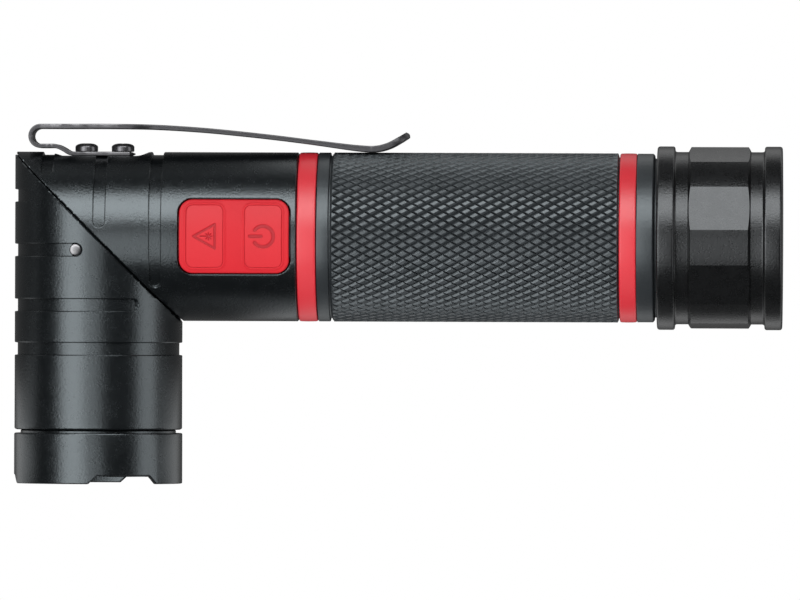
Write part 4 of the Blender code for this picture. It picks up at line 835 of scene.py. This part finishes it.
def makeGripTube():
    size = SimpleNamespace(**gripTube)
    radius, half = size.radius, math.pi / size.starts
    rowStep = (size.knurlTo - size.knurlFrom) / size.rows
    # each diamond steps inwards by one share across the falling cuts and another across the rising ones
    levels = ((1.0, 1.0, size.depth), (*size.shoulder, size.shoulderDepth), (*size.top, 0.0))
    points, faces, known = [], [], {}

    def addPoint(x, angle, depth):
        key = (round(x, 4), round(angle % (2 * math.pi), 5), round(depth, 3))
        if key not in known:
            known[key] = len(points)
            r = radius - depth
            points.append((x, r * math.sin(angle), r * math.cos(angle)))
        return known[key]

    for row in range(size.rows + 1):
        x = size.knurlFrom + row * rowStep
        for start in range(size.starts):
            centre = (2 * start + 1 + row % 2) * half
            rings = []
            onEdge = row in (0, size.rows)
            for falling, rising, depth in levels:
                mean, skew = (falling + rising) / 2, (falling - rising) / 2
                across = 0 if onEdge else skew
                corners = [(-across, -mean), (mean, skew), (across, mean), (-mean, -skew)]
                rings.append([(x + dx * rowStep, centre + da * half, depth) for dx, da in corners])
            if row == 0:
                keep = (0, 1, 2)
            elif row == size.rows:
                keep = (2, 3, 0)
            else:
                keep = (0, 1, 2, 3)
            closed = len(keep) == 4
            index = [[addPoint(*ring[corner]) for corner in keep] for ring in rings]
            for outer, inner in zip(index, index[1:]):
                for here in range(len(keep) if closed else len(keep) - 1):
                    following = (here + 1) % len(keep)
                    faces.append([outer[here], outer[following], inner[following], inner[here]])
            faces.append(index[-1])

    def addRow(shift, x, r):
        row = []
        for angle in knurlColumns(shift):
            value = r(angle) if callable(r) else r
            row.append(len(points))
            points.append((x, value * math.sin(angle), value * math.cos(angle)))
        return row

    def joinRows(first, second):
        for here in range(len(first)):
            following = (here + 1) % len(first)
            faces.append([first[here], first[following], second[following], second[here]])

    def knurlRim(row):
        x = size.knurlFrom + row * rowStep
        depths = [size.depth, size.shoulderDepth, 0.0, 0.0, size.shoulderDepth]
        angles = knurlColumns(row % 2)
        return [addPoint(x, angle, depths[column % 5]) for column, angle in enumerate(angles)]

    def thread(x):
        def radiusAt(angle):
            phase = (x / size.threadPitch - angle / (2 * math.pi)) % 1.0
            ridge = abs(2 * phase - 1)
            fade = min(1.0, max(0.0, (x - size.threadFrom) / 0.5), max(0.0, (size.threadTo - x) / 0.4))
            return size.neck - size.threadDepth * np.clip(1.35 * ridge - 0.15, 0, 1) * fade
        return radiusAt

    rows = [addRow(0, x, r) for x, r in roundedProfile(size.front, size.profileCorner, 3)]
    rows.append(knurlRim(0))
    for first, second in zip(rows, rows[1:]):
        joinRows(first, second)
    shift = size.rows % 2
    back = [knurlRim(size.rows)]
    back += [addRow(shift, x, r) for x, r in roundedProfile(size.rear, size.profileCorner, 3)]
    back += [addRow(shift, x, thread(x)) for x in np.arange(103.35, size.threadTo, 0.12)]
    back += [addRow(shift, x, r) for x, r in size.end]
    for first, second in zip(back, back[1:]):
        joinRows(first, second)
    joinRows(back[-1], rows[0])
    tube = addMesh("gripTube", points, faces, finishes["blackKnurl"], sharpAngle=34)
    rideAs(tube, "root", "grip_tube", slot="black_anodised")


makeGripTube()
print("knurled grip made")

tailCap = {
    "start": 100.6, "radius": 16.5, "groove": 15.5, "facet": 16.4, "length": 22.5, "collar": 3.2,
    "grooveWidth": 2.4, "round": 0.55, "flats": 7, "flatWide": 29, "flatStart": 19.5,
    "threadBore": 14.62, "threadDepth": 8.7,
    "magnet": 10.0, "magnetThick": 4.0, "facetBevel": 0.5,
}


def makeTailCap():
    size = SimpleNamespace(**tailCap)
    start, full, small = size.start, size.length, size.round
    facetFrom = size.collar + size.grooveWidth
    facetTo = full - facetFrom
    profile = [(size.threadDepth, 0.01), (size.threadDepth, size.threadBore),
               (0.35, size.threadBore), (0, size.threadBore + 0.35),
               (0, size.radius), (size.collar, size.radius), (size.collar, size.groove),
               (facetFrom, size.groove)]
    front = roundedProfile(profile, small, 6)
    bevel = size.facetBevel
    facets = [(facetFrom, size.groove + 0.02), (facetFrom + bevel, size.facet),
              (facetTo - bevel, size.facet), (facetTo, size.groove + 0.02)]
    rear = roundedProfile([(facetTo, size.groove), (full - size.collar, size.groove),
                           (full - size.collar, size.radius), (full, size.radius),
                           (full, size.magnet + 0.12), (full - size.magnetThick, size.magnet + 0.12),
                           (full - size.magnetThick, 0.01)], small, 6)
    lines = front + facets + rear
    facetRows = range(len(front), len(front) + len(facets))
    angles = list(np.linspace(0, 2 * math.pi, 252, endpoint=False))
    halfFlat = math.radians(size.flatWide) / 2
    flatCentres = [math.radians(size.flatStart) + 2 * math.pi * flat / size.flats
                   for flat in range(size.flats)]
    edges = [(centre + side * halfFlat) % (2 * math.pi) for centre in flatCentres for side in (-1, 1)]
    angles = np.array(sorted([a for a in angles if min(abs(a - e) for e in edges) > 0.006] + edges))
    radii = np.array([r for _, r in lines])[:, None] * np.ones(len(angles))
    flatRadius = np.full(len(angles), 99.0)
    flatAt = size.facet * math.cos(halfFlat)
    for centre in flatCentres:
        swing = (angles - centre + math.pi) % (2 * math.pi) - math.pi
        inside = np.abs(swing) <= halfFlat + 1e-6
        flatRadius = np.where(inside, flatAt / np.cos(swing), flatRadius)
    for row in facetRows:
        radii[row] = np.minimum(radii[row], flatRadius)
    xs = np.array([x for x, _ in lines])[:, None] + start + np.zeros(len(angles))
    # the bevels run further out where a flat has cut the barrel down
    rise = (radii - size.groove) / (size.facet - size.groove)
    firstBevel, lastBevel = facetRows[1], facetRows[2]
    xs[firstBevel] = start + facetFrom + bevel * rise[firstBevel]
    xs[lastBevel] = start + facetTo - bevel * rise[lastBevel]
    cap = makeBarrel("tailCap", xs, angles, radii, finishes["capAnodised"], (0, 0, 0))
    flatColumns = {int(np.argmin(np.abs(angles - edge))) for edge in edges}
    columns = len(angles)
    sharp = cap.data.attributes.get("sharp_edge") or cap.data.attributes.new("sharp_edge", "BOOLEAN", "EDGE")
    for edge in cap.data.edges:
        a, b = edge.vertices
        onFlatEdge = a % columns == b % columns and a % columns in flatColumns
        if onFlatEdge and a // columns in facetRows and b // columns in facetRows:
            sharp.data[edge.index].value = True
    rideAs(cap, "tail_cap_body", "tail_cap", slot="black_anodised")

    magnetEnd = start + full - 0.06
    magnet = turned("tailMagnet", roundedProfile([
        (start + full - size.magnetThick + 0.1, 0), (start + full - size.magnetThick + 0.1, size.magnet),
        (magnetEnd, size.magnet), (magnetEnd, 2.6), (magnetEnd - 1.6, 2.2), (magnetEnd - 1.6, 0)], 0.25, 4),
        finishes["nickelPlate"], columns=160)
    rideAs(magnet, "tail_cap_body", "tail_magnet", slot="plain_steel")


makeTailCap()
print("tail cap made")

headShell = {
    "radius": 15.1, "end": 34.8, "splitGap": 0.11, "splitBevel": 0.26, "endBevel": 0.4, "slotWidth": 2.3,
    "slotDepth": 0.54, "slots": ((-7.3, -53), (2.5, -8.3), (12.4, 31.3)), "ringGroove": 20.25,
    "ringWidth": 2.3, "pinDown": 2.5, "pinAcross": -3.43, "pinHole": 1.22, "pinDepth": 1.3,
    "bore": 12.6, "wall": 3.0, "neck": 14.0, "neckEnd": 39.0, "neckTaper": 0.1,
    "seatRise": 0.0, "bevelSteps": 4,
    "pinRadius": 1.05, "pinCrown": 0.28,
}


def makeHeadShell():
    size = SimpleNamespace(**headShell)
    radius = size.radius
    pinAngle = math.asin(size.pinAcross / radius)
    nearPin = np.arange(-1.5, 1.51, 0.09)
    xs = linesRound(size.ringGroove, size.ringWidth / 2, 0.6) + list(size.pinDown + nearPin)
    gridX, gridAngle, depth = startShell(size, -math.pi / 2, xs, pinAngle + nearPin / radius)
    ring = np.abs(gridX - size.ringGroove) - size.ringWidth / 2
    depth = np.maximum(depth, grooveDepth(ring, size.slotDepth))
    pin = np.hypot(gridX - size.pinDown, radius * (gridAngle - pinAngle)) - size.pinHole
    depth = np.maximum(depth, np.interp(pin, [-0.09, 0.0, 0.08], [size.pinDepth, 0.05, 0.0]))
    toEnd = np.clip(gridX - (size.end - size.endBevel), 0, None) / size.endBevel
    depth = np.maximum(depth, size.endBevel * (1 - np.sqrt(np.clip(1 - toEnd ** 2, 0, 1))))
    finishShell("head", "head", size, gridX, gridAngle, radius - depth, headTurn,
                Vector((splitNormal.x, -splitNormal.y, 0)))

    pinTop = math.sqrt(radius ** 2 - size.pinAcross ** 2)
    pinFoot = pinTop - 1.5
    crown = [(pinTop - 0.05 - size.pinCrown * (1 - math.cos(step * math.pi / 16)),
              size.pinRadius * math.sin(step * math.pi / 16)) for step in range(8, -1, -1)]
    stopPin = turned("stopPin", [(pinFoot, 0), (pinFoot, size.pinRadius)] + crown, finishes["pinSteel"],
                     (0, -math.pi / 2, 0), 48)
    stopPin.location = axisCross + Vector((size.pinAcross, -size.pinDown, 0)) * mm
    rideAs(stopPin, "head", "stop_pin", slot="plain_steel")


makeHeadShell()
print("head housing made")

bezelRing = {
    "start": 35.4, "end": 44.5, "radius": 15.15, "bore": 14.2, "seat": 13.5, "seatEnd": 42.75, "lip": 12.0,
    "neckEnd": 39.2, "notches": 3, "notchStart": 21.7, "rimWide": 51.6, "topWide": 37.8, "notchDepth": 1.5,
    "edge": 0.3, "crownBore": 14.2, "crownDepth": 1.62,
}


def makeBezel():
    size = SimpleNamespace(**bezelRing)
    edge = size.edge
    profile = roundedProfile([(size.neckEnd, size.bore), (size.start, size.bore),
                              (size.start, size.radius), (size.end, size.radius),
                              (size.end, size.crownBore), (size.end - size.crownDepth, size.crownBore),
                              (size.end - size.crownDepth, size.lip), (size.seatEnd, size.lip - 0.2),
                              (size.seatEnd, size.seat), (size.neckEnd, size.seat)], edge, 5)
    halfRim, halfTop = math.radians(size.rimWide) / 2, math.radians(size.topWide) / 2
    centres = [math.radians(size.notchStart) + 2 * math.pi * notch / size.notches
               for notch in range(size.notches)]
    angles = list(np.linspace(0, 2 * math.pi, 240, endpoint=False))
    for centre in centres:
        for corner in (-halfRim, -halfTop, halfTop, halfRim):
            angles += [(centre + corner + step) % (2 * math.pi) for step in (-0.006, 0, 0.006)]
    angles = tidyLines(angles, 0.0015)
    notch = np.zeros(len(angles))
    for centre in centres:
        swing = np.abs((angles - centre + math.pi) % (2 * math.pi) - math.pi)
        cut = np.interp(swing, [halfTop - 0.008, halfTop + 0.008, halfRim - 0.006, halfRim + 0.006],
                        [size.notchDepth, size.notchDepth * 0.96, size.notchDepth * 0.03, 0.0])
        notch = np.maximum(notch, cut)
    xs = np.array([x for x, _ in profile])
    onRim = (xs > size.end - edge - 0.01).astype(float)
    rimXs = xs[:, None] - onRim[:, None] * notch[None, :]
    radii = np.array([r for _, r in profile])[:, None] * np.ones(len(angles))
    grid = aroundTube(rimXs, angles, radii)
    points = grid.reshape(-1, 3)
    faces = skinFaces(*radii.shape, wrapRows=True)
    bezel = addMesh("bezel", points, faces, finishes["blackAnodised"], headTurn, 30)
    rideAs(bezel, "head", "bezel", slot="black_anodised")


makeBezel()
print("bezel made")

optics = {
    "lensStart": 40.3, "lensEnd": 42.2, "lensRadius": 13.2, "mouth": 40.0, "foot": 28.5, "reflector": 12.2,
    "flange": 12.9, "bowl": 9.3, "bowlFoot": 2.3, "bowlOffset": 2.5, "laserOffset": 9.45, "laserHole": 2.2,
    "ledSide": 1.45, "ledDome": 1.35, "ledThick": 0.7, "bowlSteps": 28,
    "laser": ((29.0, 0), (29.0, 1.95), (39.7, 1.95), (39.7, 1.25), (39.1, 1.05), (39.1, 0)),
}


def makeOptics():
    size = SimpleNamespace(**optics)
    lens = turned("lens", roundedProfile([(size.lensStart, 0), (size.lensStart, size.lensRadius),
                                          (size.lensEnd, size.lensRadius), (size.lensEnd, 0)], 0.25),
                  finishes["clearLens"], headTurn, 160)
    rideAs(lens, "head", "lens", slot="clear_glass")

    mouth, foot = size.mouth, size.foot
    block = turned("reflector", roundedProfile([
        (foot, 0), (foot, size.reflector), (39.3, size.reflector), (39.3, size.flange),
        (mouth, size.flange), (mouth, 0)], 0.15), finishes["mirrorCoat"], headTurn, 128)
    bowl = [(foot - 1, 0), (foot - 1, size.bowlFoot)]
    for step in range(size.bowlSteps + 1):
        share = step / size.bowlSteps
        bowl.append((foot + (mouth - foot) * (0.04 + 0.96 * share),
                     size.bowlFoot + (size.bowl - size.bowlFoot) * math.sqrt(share)))
    bowl += [(mouth + 1, size.bowl + 0.25), (mouth + 1, 0)]
    bowlCutter = turned("bowlCutter", bowl, None, headTurn, 128)
    bowlCutter.location = axisCross + Vector((size.bowlOffset, 0, 0)) * mm
    hole = [(foot - 1, 0), (foot - 1, size.laserHole), (mouth - 0.3, size.laserHole),
            (mouth + 0.6, size.laserHole + 0.9), (mouth + 0.6, 0)]
    laserCutter = turned("laserCutter", hole, None, headTurn, 64)
    laserCutter.location = axisCross + Vector((-size.laserOffset, 0, 0)) * mm
    cutWith(block, bowlCutter, laserCutter)
    block.data.set_sharp_from_angle(angle=math.radians(32))
    rideAs(block, "head", "reflector", slot="mirror_coat")

    ledFloor = foot + 0.02
    side = size.ledSide
    ledTop = ledFloor + size.ledThick
    base = boxMesh("ledBase", (ledFloor, size.bowlOffset - side, -side),
                   (ledTop, size.bowlOffset + side, side), headTurn, finishes["phosphorGel"])
    bevel = base.modifiers.new("softEdges", "BEVEL")
    bevel.width, bevel.segments = 0.12 * mm, 3
    applyModifiers(base)
    rideAs(base, "head", "led_emitter", slot="phosphor")
    dome = [(ledFloor + 0.6, 0), (ledFloor + 0.6, size.ledDome)]
    dome += [(ledFloor + 0.7 + size.ledDome * math.sin(step * math.pi / 24),
              size.ledDome * math.cos(step * math.pi / 24)) for step in range(12)]
    dome.append((ledFloor + 0.7 + size.ledDome, 0))
    ledDome = turned("ledDome", dome, finishes["clearLens"], headTurn, 64)
    ledDome.location = axisCross + Vector((size.bowlOffset, 0, 0)) * mm
    rideAs(ledDome, "head", slot="clear_glass")

    laser = turned("laserModule", roundedProfile(size.laser, 0.12), finishes["brassWire"], headTurn, 64)
    laser.location = axisCross + Vector((-size.laserOffset, 0, 0)) * mm
    rideAs(laser, "head", "laser_module", slot="brass")


makeOptics()
print("optics made")

clipStrip = {
    "loopX": -10.4, "loopY": 17.98, "loopRadius": 1.76, "footY": 14.83, "legY": 16.22, "footEnd": 6.4,
    "armY": 19.7, "thick": 0.88, "footThick": 0.76, "endThick": 1.15, "width": 8.0, "wide": 9.6,
    "edgeRound": 0.16,
    "arm": ((-5, 19.74), (2, 19.76), (10, 19.64), (18.3, 19.16), (25.5, 18.5), (32.7, 17.72), (39.9, 16.82),
            (46.4, 16.0), (49.8, 15.84), (52.2, 16.4), (54.3, 17.5), (55.9, 18.5)),
    "tipRound": 3.4, "footRound": 1.0, "endRound": 0.3, "cornerSteps": 3,
    "screws": (-2.25, 4.3), "accessHole": 2.5, "shankHole": 1.1, "shank": 0.95, "headRadius": 2.05,
    "headHeight": 1.5, "underHead": 15.22, "crossHalf": 0.26, "crossReach": 1.05, "crossDepth": 0.75,
}


def smoothLine(points, perSpan=8):
    # a curve that passes through every point
    line = [Vector(point) for point in points]
    line = [line[0] * 2 - line[1]] + line + [line[-1] * 2 - line[-2]]
    curve = []
    for a, b, c, d in zip(line, line[1:], line[2:], line[3:]):
        for step in range(perSpan):
            t = step / perSpan
            curve.append(0.5 * ((2 * b) + (c - a) * t + (2 * a - 5 * b + 4 * c - d) * t * t
                                + (3 * b - a - 3 * c + d) * t ** 3))
    curve.append(line[-2])
    return curve


def makeClip():
    size = SimpleNamespace(**clipStrip)
    foot = smoothLine([(size.footEnd, size.footY), (2, size.footY), (-2, size.footY),
                       (-4.4, size.footY), (-5.3, size.footY + 0.2), (-6.2, size.footY + 0.75),
                       (-7.1, size.legY - 0.2), (-8.0, size.legY), (-9.2, size.legY)], 6)
    loop = [Vector((size.loopX - size.loopRadius * math.sin(a), size.loopY - size.loopRadius * math.cos(a)))
            for a in np.linspace(0, math.pi, 25)]
    arm = smoothLine(size.arm, 8)
    path = foot + loop + arm
    tip = len(path) - 1
    lengths = np.concatenate([[0], np.cumsum([(b - a).length for a, b in zip(path, path[1:])])])
    onArm = len(foot) + len(loop)
    cornerSteps = size.cornerSteps
    rows, points = len(path), []
    for index, here in enumerate(path):
        before, after = path[max(index - 1, 0)], path[min(index + 1, tip)]
        run = (after - before).normalized()
        side = Vector((-run.y, run.x))
        blendIn = min(max((index - len(foot)) / len(loop), 0), 1)
        half = (size.footThick + (size.thick - size.footThick) * blendIn) / 2
        if index >= onArm:
            half = np.interp(here.x, [38, 48, 52], [size.thick, size.endThick, size.endThick]) / 2
        wide = size.width / 2
        if index >= onArm:
            wide = np.interp(here.x, [-7.8, -5.6, 6.6, 8.9], [size.width, size.wide, size.wide,
                                                             size.width]) / 2
        for end, rounding in ((lengths[-1], size.tipRound), (0.0, size.footRound)):
            left = abs(lengths[index] - end)
            if left < rounding:
                wide -= rounding - math.sqrt(max(rounding ** 2 - (rounding - left) ** 2, 0))
            if left < size.endRound:
                half *= math.sqrt(max(1 - ((size.endRound - left) / size.endRound) ** 2, 0.09))
        radius = min(size.edgeRound, half * 0.8)
        for quarter, (signS, signZ) in enumerate(((1, 1), (-1, 1), (-1, -1), (1, -1))):
            for step in range(cornerSteps + 1):
                angle = (quarter + step / cornerSteps) * math.pi / 2
                across = signS * (half - radius) + radius * math.cos(angle)
                z = signZ * (wide - radius) + radius * math.sin(angle)
                points.append((here.x + side.x * across, here.y + side.y * across, z))
    columns = 4 * (cornerSteps + 1)
    faces = skinFaces(rows, columns)
    faces.append(list(range(columns)))
    faces.append(list(range((rows - 1) * columns, rows * columns)))
    clip = addMesh("clipStrip", points, faces, finishes["clipSteel"], sharpAngle=40)
    cutters = []
    for index, x in enumerate(size.screws):
        hole = turned(f"access{index}", [(-2, 0), (-2, size.accessHole), (2, size.accessHole), (2, 0)],
                      turn=(0, 0, math.pi / 2), columns=48)
        hole.location = axisCross + Vector((x, size.armY, 0)) * mm
        shank = turned(f"shank{index}", [(-1, 0), (-1, size.shankHole), (1, size.shankHole), (1, 0)],
                       turn=(0, 0, math.pi / 2), columns=32)
        shank.location = axisCross + Vector((x, size.footY, 0)) * mm
        cutters += [hole, shank]
    cutWith(clip, *cutters)
    clip.data.set_sharp_from_angle(angle=math.radians(40))
    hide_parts("clip_foot", "clip_arm")
    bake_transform(clip)

    for index, x in enumerate(size.screws, 1):
        tall, head = size.headHeight, size.headRadius
        profile = [(-3.2, 0), (-3.2, size.shank), (0, size.shank), (0, head - 0.12), (0.12, head)]
        for step in range(9):
            angle = step * math.pi / 16
            profile.append((tall * 0.55 + tall * 0.45 * math.sin(angle),
                            head - head * 0.72 * (1 - math.cos(angle))))
        screw = turned(f"clipScrew{index}", profile + [(tall, 0)], finishes["screwSteel"],
                       (0, 0, math.pi / 2), 48)
        centre = axisCross + Vector((x, size.underHead, 0)) * mm
        screw.location = centre
        blades = []
        for turn in (20 + 31 * index, 110 + 31 * index):
            blade = boxMesh(f"blade{index}_{turn}",
                            (tall - size.crossDepth, -size.crossReach, -size.crossHalf),
                            (tall + 1, size.crossReach, size.crossHalf))
            blade.rotation_euler = (Matrix.Rotation(math.pi / 2, 3, "Z")
                                    @ Matrix.Rotation(math.radians(turn), 3, "X")).to_euler()
            blade.location = centre
            blades.append(blade)
        cutWith(screw, *blades)
        rideAs(screw, "root", f"clip_screw_{index}", slot="plain_steel")


makeClip()
print("clip made")

nodeFinishes = {
    "black_anodised": "blackAnodised", "red_silicone": "redSilicone", "clip_steel": "clipSteel",
    "plain_steel": "brightSteel", "seal_rubber": "sealRubber", "brass": "brassWire",
    "board_green": "boardGreen", "black_plastic": "blackPlastic", "white_plastic": "whiteBoard",
    "red_plastic": "redWire", "cell_wrap": "cellSleeve", "mirror_coat": "mirrorCoat",
    "clear_glass": "clearLens", "phosphor": "phosphorGel", "bare_aluminium": "bareAluminium",
}
slotOf = {entry["node"]: entry["material_slot"] for entry in frame["record"]["subparts"]}
for nodeName, node in frame["nodes"].items():
    finish = finishes[nodeFinishes[slotOf[nodeName]]]
    if not node.data.materials:
        node.data.materials.append(finish)
    for index in range(len(node.data.materials)):
        node.data.materials[index] = finish
print("inner pieces finished:", len(frame["nodes"]))
